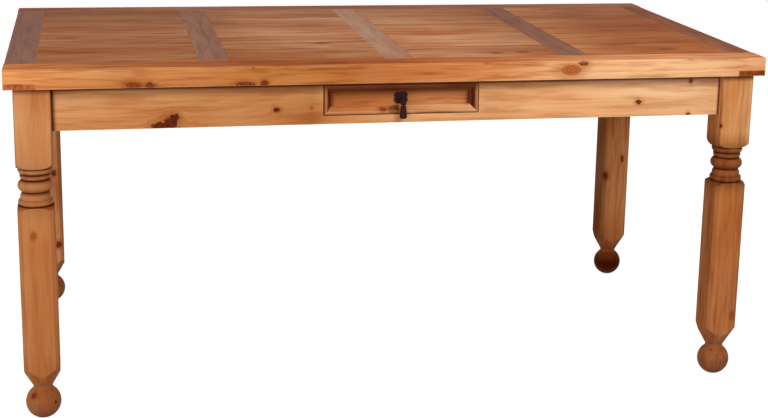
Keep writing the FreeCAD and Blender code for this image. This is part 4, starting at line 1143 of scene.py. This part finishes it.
@dataclass
class TurnedLegs:
    """Four legs: a square block, turned beads, a chamfered block, a tapered ankle and a ball foot."""

    size: float = 74.0
    height: float = 721.0
    upper_arris: float = 2.0
    lower_chamfer: float = 7.0
    ease: float = 1.2
    ease_share: float = 0.3
    upper_block: float = 152.0
    shoulder: float = 18.0
    shoulder_bulge: float = 5.3
    upper_neck: float = 33.0
    first_bead: float = 14.0
    first_bulge: float = 3.3
    first_notch: float = 30.0
    second_bead: float = 12.5
    second_bulge: float = 2.5
    ring_neck: float = 27.0
    ring: float = 25.5
    ring_bulge: float = 9.0
    cove: float = 7.0
    collar: float = 8.0
    collar_top: float = 31.0
    collar_base: float = 31.5
    last_bead: float = 14.0
    last_bulge: float = 3.7
    lower_neck: float = 33.0
    ankle_neck: float = 6.4
    ankle: float = 20.4
    taper: float = 1.74
    ball: float = 36.8
    foot: float = 11.4
    segments: int = 96
    arc_steps: int = 10
    ball_steps: int = 30
    spare: float = 1.0
    crease_angle: float = 32.0
    # The grooves are darkened for wax and as painted shade, the narrow arrises as painted shade
    groove_reach: float = 5.0
    groove_depth: float = 1.0
    arris_width: float = 3.0
    arris_depth: float = 0.25
    bead_levels: tuple[float, ...] = (478.0, 508.0, 538.0)
    bead_reach: float = 24.0
    # The stain lies deepest in the beads and the balls, and on the front right leg below them
    left_shade: tuple[Flat, ...] = (
        (0, 0.85), (70, 0.88), (110, 0.93), (160, 0.88), (440, 0.85), (460, 0.85), (560, 0.9), (590, 0.9),
        (650, 0.79), (721, 0.82),
    )
    right_shade: tuple[Flat, ...] = (
        (0, 0.8), (80, 0.9), (120, 0.97), (440, 0.97), (460, 0.95), (560, 0.9), (590, 0.62), (660, 0.6),
        (721, 0.7),
    )
    rear_shade: tuple[Flat, ...] = ((0, 1.0), (80, 1.0), (120, 0.9), (220, 0.82), (400, 0.92), (721, 0.95))

    def timbers(self) -> dict[str, tuple[int, Timber]]:
        """Say how each leg was cut.

        Returns:
            The leg's quarter turn about Z in degrees and its timber, by node.
        """
        front_left = (Knot((-772, -421, 411), 5.0, 0.35, 1.4), Knot((-784, -408, 56), 6.0, 0.6, 1.0),
                      Knot((-740, -410, 40), 3.0, 0.9, 1.0))
        front_right = (Knot((731, -421, 604), 4.0, 0.9, 1.2), Knot((790, -421, 150), 5.0, 0.3, 1.5))
        rear_right = (Knot((736, 347, 293), 8.5, 0.75, 1.4), Knot((782, 347, 340), 4.0, 0.85, 2.4))
        rear_left = (Knot((-747, 347, 351), 7.0, 0.7, 1.2), Knot((-741, 347, 161), 8.0, 0.65, 1.2))
        shadowed = Crease(Axis.X, 728.5, 7.0, 0.55)
        return {
            "front_left_leg": (0, Timber(Axis.Z, (80.0, 25.0), 0.0, front_left, self.left_shade,
                                         self.dirt_and_shade(0.42, 0.24), figure=0.35, hue=("#F7F9FF", "#FFFFFF"))),
            "front_right_leg": (90, Timber(Axis.Z, (5.0, 70.0), 0.0, front_right, self.right_shade,
                                           self.dirt_and_shade(0.45, 0.6), figure=0.7, hue=("#F9F2FF", "#FFFFEE"))),
            "rear_right_leg": (180, Timber(Axis.Z, (-30.0, 50.0), 0.0, rear_right, self.rear_shade,
                                           (*self.dirt_and_shade(1.0, 0.3), shadowed), figure=0.7)),
            "rear_left_leg": (270, Timber(Axis.Z, (20.0, -60.0), -0.55, rear_left, self.rear_shade,
                                          self.dirt_and_shade(0.5, 0.3), figure=0.7, hue=("#FFECE0", "#FFECE0"))),
        }

    def dirt_and_shade(self, ball: float, beads: float) -> tuple[Crease, ...]:
        """Say where a leg is painted darker: painted shade on its ball, darker towards the floor, and at its
        head under the top; its ankle and its beads darker too.

        Args:
            ball: How dark the ball is.
            beads: How dark the beads are.

        Returns:
            The creases.
        """
        turnings = tuple(Crease(Axis.Z, level, self.bead_reach, beads) for level in self.bead_levels)
        ankle = Crease(Axis.Z, 69.0, 5.0, 0.5)
        # Painted shade: the head under the top's overhang, and the ball darker towards the floor
        head = Crease(Axis.Z, 718.0, 6.0, 0.8)
        return (Crease(Axis.Z, 34.0, 40.0, ball), ankle, *turnings, head)

    def steps(self) -> list[Point]:
        """List the turned stretches from the upper block down.

        Returns:
            Each stretch's end radius, drop and bulge.
        """
        return [
            (self.upper_neck, self.shoulder, self.shoulder_bulge),
            (self.first_notch, self.first_bead, self.first_bulge),
            (self.ring_neck, self.second_bead, self.second_bulge),
            (self.ring_neck, self.ring, self.ring_bulge),
            (self.collar_top, self.cove, 0.0),
            (self.collar_base, self.collar, 0.0),
            (self.lower_neck, self.last_bead, self.last_bulge),
            (self.size / math.sqrt(2), self.shoulder, self.shoulder_bulge),
        ]

    def arc(self, start: Flat, stop: Flat, bulge: float) -> Iterator[Flat]:
        """Walk along an arc that swells outwards.

        Args:
            start: Radius and height where it starts.
            stop: Radius and height where it ends.
            bulge: How far it stands out from the straight line.

        Yields:
            The points after the start.
        """
        if not bulge:
            yield stop
            return
        run, drop = stop[0] - start[0], stop[1] - start[1]
        chord = math.hypot(run, drop)
        radius = chord ** 2 / (8 * bulge) + bulge / 2
        half = math.asin(min(1.0, chord / (2 * radius)))
        for step in range(1, self.arc_steps + 1):
            angle = half * (2 * step / self.arc_steps - 1)
            along = (math.sin(angle) / math.sin(half) + 1) / 2
            out = radius * (math.cos(angle) - math.cos(half)) / chord
            yield (start[0] + run * along - drop * out, start[1] + drop * along + run * out)

    def profile(self) -> list[Flat]:
        """Draw the turned outline from the top of the leg down.

        Returns:
            Points as radius and height.
        """
        outside = self.size
        level = self.height - self.upper_block
        above = self.height + self.spare
        points = [(0.0, above), (outside, above), (outside, level), (self.size / math.sqrt(2), level)]
        for radius, drop, bulge in self.steps():
            level -= drop
            points += self.arc(points[-1], (radius, level), bulge)
        centre = math.sqrt(self.ball ** 2 - self.foot ** 2)
        ball_top = centre + math.sqrt(self.ball ** 2 - self.ankle ** 2)
        ankle_top = ball_top + self.ankle_neck
        points += [(outside, level), (outside, ankle_top + (outside - self.ankle) * self.taper)]
        points += [(self.ankle, ankle_top), (self.ankle, ball_top)]
        first = math.acos(self.ankle / self.ball)
        last = -math.acos(self.foot / self.ball)
        for step in range(1, self.ball_steps + 1):
            angle = first + (last - first) * step / self.ball_steps
            points.append((self.ball * math.cos(angle), centre + self.ball * math.sin(angle)))
        points.append((0.0, points[-1][1]))
        return points

    def grooves(self) -> list[Flat]:
        """List the notches that are painted darker, for wax gathered there and as painted shade: all but the
        two edges of the collar.

        Returns:
            Their radii and heights.
        """
        level = self.height - self.upper_block
        found = []
        for radius, drop, _ in self.steps()[:-1]:
            level -= drop
            if radius not in (self.collar_top, self.collar_base):
                found.append((radius, level))
        return found

    def section(self, chamfer: float) -> list[Flat]:
        """Draw the outline of the blank: a square with its corners cut off and eased.

        Args:
            chamfer: Width of the cut along each face.

        Returns:
            Points going round.
        """
        half = self.size / 2
        short = half - chamfer
        corners = [Vector(c) for c in ((half, -short), (half, short), (short, half), (-short, half),
                                       (-half, short), (-half, -short), (-short, -half), (short, -half))]
        ease = min(self.ease, self.ease_share * chamfer)
        points = []
        for index, corner in enumerate(corners):
            before = corner + (corners[index - 1] - corner).normalized() * ease
            after = corner + (corners[(index + 1) % len(corners)] - corner).normalized() * ease
            points += [before, (before + after + 2 * corner) / 4, after]
        return [tuple(point) for point in points]

    def blank(self) -> Mesh:
        """Make the square blank: chamfered below the beads and eased above them.

        Returns:
            A closed mesh in metres.
        """
        above = self.upper_block + self.shoulder + self.first_bead + self.second_bead
        waist = self.height - above - self.ring / 2
        levels = [(-self.spare, self.lower_chamfer), (waist, self.lower_chamfer),
                  (waist + self.spare, self.upper_arris), (self.height, self.upper_arris)]
        work = bmesh.new()
        rings = []
        for level, chamfer in levels:
            rings.append([work.verts.new((x * MM, y * MM, level * MM)) for x, y in self.section(chamfer)])
        for low, high in zip(rings, rings[1:]):
            for index in range(len(low)):
                after = (index + 1) % len(low)
                work.faces.new((low[index], low[after], high[after], high[index]))
        work.faces.new(list(reversed(rings[0])))
        work.faces.new(rings[-1])
        mesh = bpy.data.meshes.new("leg_blank")
        work.to_mesh(mesh)
        work.free()
        return mesh

    def lathe_tree(self) -> Tree:
        """Build the tree that turns a blank on the lathe.

        Returns:
            The tree, which starts from the outline's points and marks what the tool has cut.
        """
        tree, given = geometry_tree("turned_leg", {
            "Int": "Segments", "Object": "Blank", "Material": "Material"})
        outline = given["Geometry"]
        count = add(tree, "GeometryNodeAttributeDomainSize", outline)
        sides = add(tree, "ShaderNodeMath", given["Segments"], 1.0, operation="ADD")
        grid = add(tree, "GeometryNodeMeshGrid", 1.0, 1.0, sides, count)
        place = add(tree, "GeometryNodeInputPosition")
        spread = add(tree, "ShaderNodeSeparateXYZ", place).outputs
        angle = add(tree, "ShaderNodeMath", spread["X"], -math.tau, operation="MULTIPLY")
        last = add(tree, "ShaderNodeMath", count, 1.0, operation="SUBTRACT")
        share = add(tree, "ShaderNodeMath", spread["Y"], 0.5, operation="ADD")
        row = add(tree, "ShaderNodeMath", share, last, operation="MULTIPLY")
        whole = add(tree, "ShaderNodeMath", row, operation="ROUND")
        sampled = add(tree, "GeometryNodeSampleIndex", outline, place, whole, data_type="FLOAT_VECTOR",
                      domain="POINT")
        drawn = add(tree, "ShaderNodeSeparateXYZ", sampled).outputs
        ways = [add(tree, "ShaderNodeMath", angle, operation=part) for part in ("COSINE", "SINE")]
        x, y = (add(tree, "ShaderNodeMath", drawn["X"], way, operation="MULTIPLY") for way in ways)
        swept = add(tree, "ShaderNodeCombineXYZ", x, y, drawn["Z"])
        turned = add(tree, "GeometryNodeSetPosition", grid, named={"Position": swept})
        closed = add(tree, "GeometryNodeMergeByDistance", turned, named={"Distance": MERGE})
        marked = add(tree, "GeometryNodeStoreNamedAttribute", closed, named={"Name": "turned", "Value": 1.0},
                     data_type="FLOAT", domain="FACE")
        blank = add(tree, "GeometryNodeObjectInfo", given["Blank"]).outputs["Geometry"]
        cut = add(tree, "GeometryNodeMeshBoolean", [marked, blank], operation="INTERSECT", solver="EXACT")
        end_tree(tree, cut, given["Material"])
        return tree

    def shade(self, mesh: Mesh) -> None:
        """Smooth what the lathe has cut, keep its creases, and darken the grooves and the arrises: painted
        shade, with wax in the grooves.

        Args:
            mesh: A turned leg, standing at the origin.
        """
        faces = np.empty(len(mesh.polygons), np.float32)
        mesh.attributes["turned"].data.foreach_get("value", faces)
        mesh.polygons.foreach_set("use_smooth", faces > 0.5)
        places = np.array([mesh.vertices[loop.vertex_index].co for loop in mesh.loops]) / MM
        radii = np.hypot(places[:, 0], places[:, 1])
        grime = np.zeros(len(places), np.float32)
        for radius, level in self.grooves():
            away = np.hypot(radii - radius, places[:, 2] - level)
            grime += np.exp(-((away / self.groove_reach) ** 2))
        grime = np.minimum(grime, 1.0) * self.groove_depth
        # Painted shade along the narrow arrises
        for face, turned in zip(mesh.polygons, faces):
            if turned < 0.5:
                corners = np.array([mesh.vertices[index].co.xy for index in face.vertices])
                narrow = np.ptp(corners, axis=0).max() < self.arris_width * MM
                grime[face.loop_start:face.loop_start + face.loop_total] = self.arris_depth if narrow else 0.0
        mesh.attributes.new("groove", "FLOAT", "CORNER").data.foreach_set("value", grime)
        mesh.set_sharp_from_angle(angle=math.radians(self.crease_angle))

    def build(self, finishes: Finishes) -> None:
        """Turn one leg and set it at each corner.

        Args:
            finishes: The table's finishes.
        """
        blank = placed("leg_blank", self.blank())
        outline = point_mesh("leg_outline", [(x * MM, 0.0, z * MM) for x, z in self.profile()])
        turned = grown(self.lathe_tree(), outline, {
            "Segments": self.segments, "Blank": blank, "Material": finishes.of("front_left_leg")})
        bpy.data.objects.remove(blank)
        self.shade(turned)
        for node, (turn, timber) in self.timbers().items():
            low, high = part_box(node)
            corner = Vector(((low.x + high.x) / 2, (low.y + high.y) / 2, 0.0))
            mesh = turned.copy()
            mesh.transform(Matrix.Translation(corner) @ Matrix.Rotation(math.radians(turn), 4, "Z"))
            dress_board(finishes, node, timber, mesh)
        bpy.data.meshes.remove(turned)


@dataclass
class ApronFrame:
    """The aprons between the legs and the braces behind the corners."""

    apron_ease: float = 1.0
    brace_ease: float = 0.8
    # The stain is deepest beside the drawer and palest on the right
    front_shade: tuple[Flat, ...] = (
        (-729, 0.48), (-590, 0.58), (-490, 0.7), (-300, 0.85), (-190, 0.95), (-150, 0.55), (100, 0.36),
        (210, 0.42), (310, 0.25), (410, 0.15), (640, 0.28), (729, 0.4),
    )

    def build(self, finishes: Finishes) -> None:
        """Dress the aprons and the braces.

        Args:
            finishes: The table's finishes.
        """
        front = (
            Knot((-481, -405.5, 649), 9.0, 1.0, 1.2), Knot((-490, -405.5, 639), 13.0, 1.0, 1.2),
            Knot((-513, -405.5, 633), 8.5, 1.0, 1.8), Knot((537, -405.5, 661), 5.5, 0.85, 1.4),
            Knot((658, -405.5, 706), 5.5, 0.3, 0.8), Knot((656, -405.5, 630), 4.2, 0.8, 1.2),
            Knot((-195, -405.5, 664), 3.0, 0.25, 1.0), Knot((-269, -405.5, 662.5), 5.4, 0.95, 1.3),
        )
        # Painted shadow under the top's overhang, a thin dark line and a wide soft fall, and a dark line down
        # each end beside the legs
        creases = (Crease(Axis.X, -726.5, 5.0, 1.0), Crease(Axis.X, 727.0, 3.0, 1.0),
                   Crease(Axis.Z, 714.0, 5.0, 1.0), Crease(Axis.Z, 714.0, 16.0, 0.25))
        dress_boards(finishes, {
            "front_apron": Timber(Axis.X, (60.0, 25.0), 0.0, front, self.front_shade, creases, figure=0.5,
                                  hue=("#F9FBF2", "#FBFBF9")),
            "rear_apron": Timber(Axis.X, (-50.0, 30.0), 0.2, STRAYS.over("rear_apron", 5)),
            "left_apron": Timber(Axis.Y, (55.0, -40.0), 0.3, STRAYS.over("left_apron", 3)),
            "right_apron": Timber(Axis.Y, (-60.0, 35.0), 0.25, STRAYS.over("right_apron", 3)),
        }, self.apron_ease)
        corners = ("front_left", "front_right", "rear_right", "rear_left")
        braces = {}
        for node in (f"{corner}_corner_brace" for corner in corners):
            braces[node] = Timber(Axis.X, (10.0, -50.0), 0.35, STRAYS.over(node, 1))
        dress_boards(finishes, braces, self.brace_ease)


@dataclass
class DrawerSlide:
    """What carries the drawer under the top: runners, guides, kicker and stops."""

    ease: float = 0.7

    def build(self, finishes: Finishes) -> None:
        """Dress each batten.

        Args:
            finishes: The table's finishes.
        """
        battens = [f"{side}_drawer_{part}" for side in ("left", "right") for part in ("runner", "guide")]
        timbers = {node: Timber(Axis.Y, (15.0, -30.0), 0.3) for node in battens}
        timbers["drawer_kicker"] = Timber(Axis.Y, (20.0, -45.0), 0.25)
        for node in ("drawer_opening_stop", "drawer_closing_stops"):
            timbers[node] = Timber(Axis.X, (10.0, -25.0), 0.4)
        dress_boards(finishes, timbers, self.ease)


@dataclass
class Drawer:
    """The drawer: a board with a mitred bevelled frame in front, and a nailed box behind it."""

    front_ease: float = 0.6
    box_ease: float = 0.7

    def build(self, finishes: Finishes) -> None:
        """Dress the drawer's boards.

        Args:
            finishes: The table's finishes.
        """
        knots = (Knot((-16, -400, 656), 11.0, 0.4, 1.3), Knot((-40, -400, 656), 7.0, 0.5, 1.3))
        # Painted shade in the recess along the frame's sides and under its top, and on the top strip under
        # the table top; darker lines along the frame's outer edges
        inside = (Crease(Axis.X, -152.5, 7.0, 0.8), Crease(Axis.X, 152.5, 9.0, 1.0),
                  Crease(Axis.Z, 694.0, 8.0, 0.7))
        above = (Crease(Axis.Z, 702.0, 10.0, 0.75),)
        below = (Crease(Axis.Z, 647.0, 2.0, 0.8),)
        left = (Crease(Axis.X, -156.0, 6.0, 1.0), Crease(Axis.X, -168.5, 2.5, 0.9))
        right = (Crease(Axis.X, 157.0, 8.0, 1.0), Crease(Axis.X, 168.5, 2.0, 0.5))
        board_shade = ((-168, 0.35), (-30, 0.3), (60, 0.0))
        bottom_shade = ((-168, 0.45), (-60, 0.35), (160, 0.1))
        dress_boards(finishes, {
            "drawer_front_board": Timber(Axis.X, (40.0, 20.0), 0.75, (), board_shade, inside),
            # The top strip's deep tone is painted shade from the top's overhang too
            "drawer_frame_top": Timber(Axis.X, (25.0, -50.0), 1.0, (), (), above, hue=("#FFEEF6", "#FFEEF6")),
            "drawer_frame_bottom": Timber(Axis.X, (25.0, 45.0), 0.27, knots, bottom_shade, below),
            "drawer_frame_left": Timber(Axis.Z, (30.0, 30.0), 0.9, (), (), left),
            "drawer_frame_right": Timber(Axis.Z, (-30.0, 35.0), 0.75, (), (), right),
        }, self.front_ease)
        dress_boards(finishes, {
            "left_drawer_side": Timber(Axis.Y, (40.0, 10.0), 0.2),
            "right_drawer_side": Timber(Axis.Y, (-45.0, 20.0), 0.25),
            "drawer_back": Timber(Axis.X, (40.0, -15.0), 0.3),
            "drawer_bottom": Timber(Axis.X, (30.0, -70.0), 0.15, STRAYS.over("drawer_bottom", 3, "bottom")),
        }, self.box_ease)


@dataclass
class IronPull:
    """The drop pull: a notched plate, a forked post, its pin, the bell-shaped drop, washer and nut."""

    ease: float = 0.5

    def build(self, finishes: Finishes) -> None:
        """Dress the forged pieces.

        Args:
            finishes: The table's finishes.
        """
        for node in ("pull_backplate", "pull_post"):
            finishes.dress(node, EASING.copy(node, self.ease))
        for node in ("pull_pin", "pull_drop", "pull_washer", "pull_nut"):
            frame["nodes"][node].material_slots[0].material = finishes.of(node)
            log.info("%s keeps its turned form", node)


@dataclass
class Fasteners:
    """Screws and nails, set where the frame has them."""

    slot_width: float = 0.9
    slot_depth: float = 1.2
    # Shares of the head's and the shank's radius
    slot_reach: float = 0.62
    tip: float = 0.45
    rim: float = 0.98
    segments: int = 24

    def drives(self) -> dict[str, Drive]:
        """Say which head each group of fasteners has.

        Returns:
            The kind of head by node.
        """
        screws = ("top", "corner_lap", "corner_brace", "drawer_guide", "drawer_kicker")
        return {**{f"{name}_screws": Drive.CROSS for name in screws}, "drawer_nails": Drive.PLAIN}

    def driven_tree(self) -> Tree:
        """Build the tree that drives one fastener at each point.

        Returns:
            The tree, which reads each point's way field.
        """
        tree, given = geometry_tree("driven_fastener", {
            "Float": "Head Radius, Head Height, Shank Radius, Shank Length, Tip, "
                     "Slot Width, Slot Length, Slot Depth",
            "Int": "Segments", "Material": "Material"})
        middle, crown = (add(tree, "ShaderNodeMath", given["Head Height"], part, operation="MULTIPLY")
                         for part in (-0.5, -1.0))
        drop, top = (add(tree, "ShaderNodeCombineXYZ", named={"Z": z}) for z in (middle, crown))
        disc = add(tree, "GeometryNodeMeshCylinder", named={
            "Vertices": given["Segments"], "Radius": given["Head Radius"], "Depth": given["Head Height"]})
        head = add(tree, "GeometryNodeTransform", disc, drop)
        twice = add(tree, "ShaderNodeMath", given["Slot Depth"], 2.0, operation="MULTIPLY")
        slot = add(tree, "ShaderNodeCombineXYZ", given["Slot Length"], given["Slot Width"], twice)
        blade = add(tree, "GeometryNodeMeshCube", slot)
        blades = [add(tree, "GeometryNodeTransform", blade, top, (0.0, 0.0, turn))
                  for turn in (0.0, math.pi / 2)]
        slotted = add(tree, "GeometryNodeMeshBoolean", head, blades, operation="DIFFERENCE", solver="EXACT")
        point = add(tree, "ShaderNodeMath", given["Shank Radius"], given["Tip"], operation="MULTIPLY")
        shank = add(tree, "GeometryNodeMeshCone", named={
            "Vertices": given["Segments"], "Radius Top": point, "Radius Bottom": given["Shank Radius"],
            "Depth": given["Shank Length"]})
        whole = add(tree, "GeometryNodeJoinGeometry", [slotted, shank])
        way = add(tree, "GeometryNodeInputNamedAttribute", "way", data_type="FLOAT_VECTOR")
        turned = add(tree, "FunctionNodeAlignRotationToVector", named={"Vector": way}, axis="Z")
        driven = add(tree, "GeometryNodeInstanceOnPoints", given["Geometry"],
                     named={"Instance": whole, "Rotation": turned})
        end_tree(tree, driven, given["Material"])
        return tree

    def islands(self, node: str) -> list[np.ndarray]:
        """Part a group of fasteners into single ones.

        Args:
            node: The group's node.

        Returns:
            Each fastener's points, in metres.
        """
        work = bmesh.new()
        work.from_mesh(frame["nodes"][node].data)
        bmesh.ops.remove_doubles(work, verts=work.verts, dist=MERGE)
        reached = set()
        found = []
        for start in work.verts:
            if start in reached:
                continue
            reached.add(start)
            island = [start]
            for vert in island:
                beside = [link.other_vert(vert) for link in vert.link_edges]
                island += [other for other in beside if other not in reached]
                reached.update(beside)
            found.append(np.array([vert.co for vert in island]))
        work.free()
        return found

    def seats(self, node: str) -> tuple[list[Vector], list[Vector], dict[str, float]]:
        """Find where the frame's fasteners sit.

        Args:
            node: A group of fasteners along the frame's axes.

        Returns:
            The seats under the heads, the ways that the shanks run, and the sizes of one fastener.
        """
        places, ways, sizes = [], [], {}
        for points in self.islands(node):
            low, high = points.min(0), points.max(0)
            middle = (low + high) / 2
            long = int(np.argmax(high - low))
            levels = points[:, long]
            away = np.linalg.norm(np.delete(points - middle, long, axis=1), axis=1)
            wide = levels[away > away.max() * self.rim]
            forward = wide.mean() < middle[long]
            seat = Vector(middle)
            seat[long] = wide.max() if forward else wide.min()
            places.append(seat)
            ways.append(Vector([float(index == long) for index in range(3)]) * (1 if forward else -1))
            head = float(np.ptp(wide))
            thin = away[np.abs(levels - (high if forward else low)[long]) < MERGE]
            sizes = {"Head Radius": float(away.max()), "Head Height": head, "Shank Radius": float(thin.max()),
                     "Shank Length": float(np.ptp(levels)) - head}
        return places, ways, sizes

    def build(self, finishes: Finishes) -> None:
        """Drive each group of fasteners.

        Args:
            finishes: The table's finishes.
        """
        tree = self.driven_tree()
        for node, drive in self.drives().items():
            places, ways, sizes = self.seats(node)
            points = point_mesh(node, places)
            field = points.attributes.new("way", "FLOAT_VECTOR", "POINT")
            field.data.foreach_set("vector", np.array(ways, np.float32).ravel())
            deep = self.slot_depth if drive is Drive.CROSS else 0.0
            mesh = grown(tree, points, {
                **sizes, "Slot Width": self.slot_width * MM, "Slot Depth": deep * MM,
                "Slot Length": 2 * self.slot_reach * sizes["Head Radius"], "Tip": self.tip,
                "Segments": self.segments, "Material": finishes.of(node)})
            finishes.dress(node, mesh)


@dataclass(frozen=True)
class SoftBox:
    """A rectangular lamp: where it hangs and what it faces, its width and height in metres, its watts."""

    name: str
    place: Point
    aim: Point
    size: Flat
    power: float
    glossy: bool = True

    def hang(self) -> None:
        """Hang the lamp."""
        light = bpy.data.lights.new(self.name, "AREA")
        light.shape = "RECTANGLE"
        light.size, light.size_y = self.size
        light.energy = self.power
        lamp = placed(self.name, light)
        place = Vector(self.place)
        turn = (place - Vector(self.aim)).to_track_quat("Z", "Y")
        lamp.matrix_world = Matrix.Translation(place) @ turn.to_matrix().to_4x4()
        lamp.visible_glossy = self.glossy


@dataclass
class Studio:
    """A pale floor, soft light from all sides but the right, and a camera at the photograph's angle."""

    # In pixels, millimetres and degrees, from the table's own straight edges and square corners
    picture: tuple[int, int] = (768, 418)
    lens_axis: Flat = (447.98, 148.89)
    focal: float = 1523.4
    sensor: float = 36.0
    camera_place: Point = (-648.1, -3540.1, 1326.8)
    heading: float = 13.487
    dip: float = 13.276
    roll: float = -1.449
    floor_size: float = 60.0
    floor_colour: str = "#9C9A98"
    floor_white: float = 0.9
    ambient: float = 0.272
    # The last two light the back and the sides, and leave no glare on the top
    lamps: tuple[SoftBox, ...] = (
        SoftBox("key", (1.2, -2.9, 2.4), (0.1, -0.2, 0.6), (1.4, 1.0), 74.0),
        SoftBox("fill", (-1.7, -3.0, 1.0), (0.0, 0.0, 0.5), (2.0, 1.0), 44.0),
        SoftBox("overhead", (0.0, -0.3, 2.7), (0.0, 0.0, 0.76), (2.4, 1.4), 3.6),
        SoftBox("rear", (0.4, 3.2, 1.6), (0.0, 0.0, 0.5), (2.0, 1.0), 26.0, False),
        SoftBox("side", (-2.6, -0.7, 0.6), (0.7, -0.2, 0.4), (1.0, 1.0), 14.0, False),
    )

    def camera(self) -> None:
        """Set the camera where the photograph was taken from."""
        turn, dip, roll = (math.radians(angle) for angle in (self.heading, self.dip, self.roll))
        forward = Vector((math.sin(turn) * math.cos(dip), math.cos(turn) * math.cos(dip), -math.sin(dip)))
        right = Vector((math.cos(turn), -math.sin(turn), 0.0))
        down = forward.cross(right)
        across = right * math.cos(roll) + down * math.sin(roll)
        upright = right * math.sin(roll) - down * math.cos(roll)
        width, height = self.picture
        lens = bpy.data.cameras.new("camera")
        lens.sensor_width = self.sensor
        lens.lens = self.focal / width * self.sensor
        lens.shift_x = (width / 2 - self.lens_axis[0]) / width
        lens.shift_y = (self.lens_axis[1] - height / 2) / width
        camera = placed("camera", lens)
        axes = Matrix((across, upright, -forward)).transposed().to_4x4()
        camera.matrix_world = Matrix.Translation(Vector(self.camera_place) * MM) @ axes
        bpy.context.scene.camera = camera

    def floor(self) -> None:
        """Lay a pale floor that shows white to the camera and keeps the table's shadow."""
        half = self.floor_size / 2
        corners = [(-half, -half, 0), (half, -half, 0), (half, half, 0), (-half, half, 0)]
        mesh = bpy.data.meshes.new("floor")
        mesh.from_pydata(corners, [], [(0, 1, 2, 3)])
        made = bare_material("pale_floor")
        tree = made.node_tree
        pale = add(tree, "ShaderNodeBsdfDiffuse", linear(self.floor_colour))
        strength = add(tree, "ShaderNodeMath", self.seen(tree), self.floor_white, operation="MULTIPLY")
        glow = add(tree, "ShaderNodeEmission", named={"Strength": strength})
        both = add(tree, "ShaderNodeAddShader", pale, glow)
        add(tree, "ShaderNodeOutputMaterial", both)
        mesh.materials.append(made)
        floor = placed("floor", mesh)

    def seen(self, tree: Tree) -> Node:
        """Tell rays that show the background from rays that light the table.

        Args:
            tree: The nodes of the floor or the world.

        Returns:
            1 for camera, glossy and transmission rays.
        """
        path = add(tree, "ShaderNodeLightPath").outputs
        either = add(tree, "ShaderNodeMath", path["Is Camera Ray"], path["Is Glossy Ray"],
                     operation="MAXIMUM")
        return add(tree, "ShaderNodeMath", either, path["Is Transmission Ray"], operation="MAXIMUM")

    def world(self) -> None:
        """Set a white surround that lights the table gently."""
        world = bpy.data.worlds.new("studio")
        world.use_nodes = True
        tree = world.node_tree
        tree.nodes.clear()
        level = add(tree, "ShaderNodeMapRange", self.seen(tree), 0.0, 1.0, self.ambient, 1.0)
        light = add(tree, "ShaderNodeBackground", linear("#FFFFFF"), level)
        add(tree, "ShaderNodeOutputWorld", light)
        bpy.context.scene.world = world

    def build(self) -> None:
        """Set up the studio."""
        self.camera()
        self.floor()
        self.world()
        for lamp in self.lamps:
            lamp.hang()
        bpy.context.scene.view_settings.view_transform = "Standard"


def main() -> None:
    """Build the table round its frame."""
    logging.basicConfig(level=logging.INFO, format="%(message)s")
    Studio().build()
    finishes = Finishes()
    for part in (TableTop(), TurnedLegs(), ApronFrame(), DrawerSlide(), Drawer(), IronPull(), Fasteners()):
        log.info("%s", type(part).__name__)
        part.build(finishes)


if __name__ == "__main__":
    main()
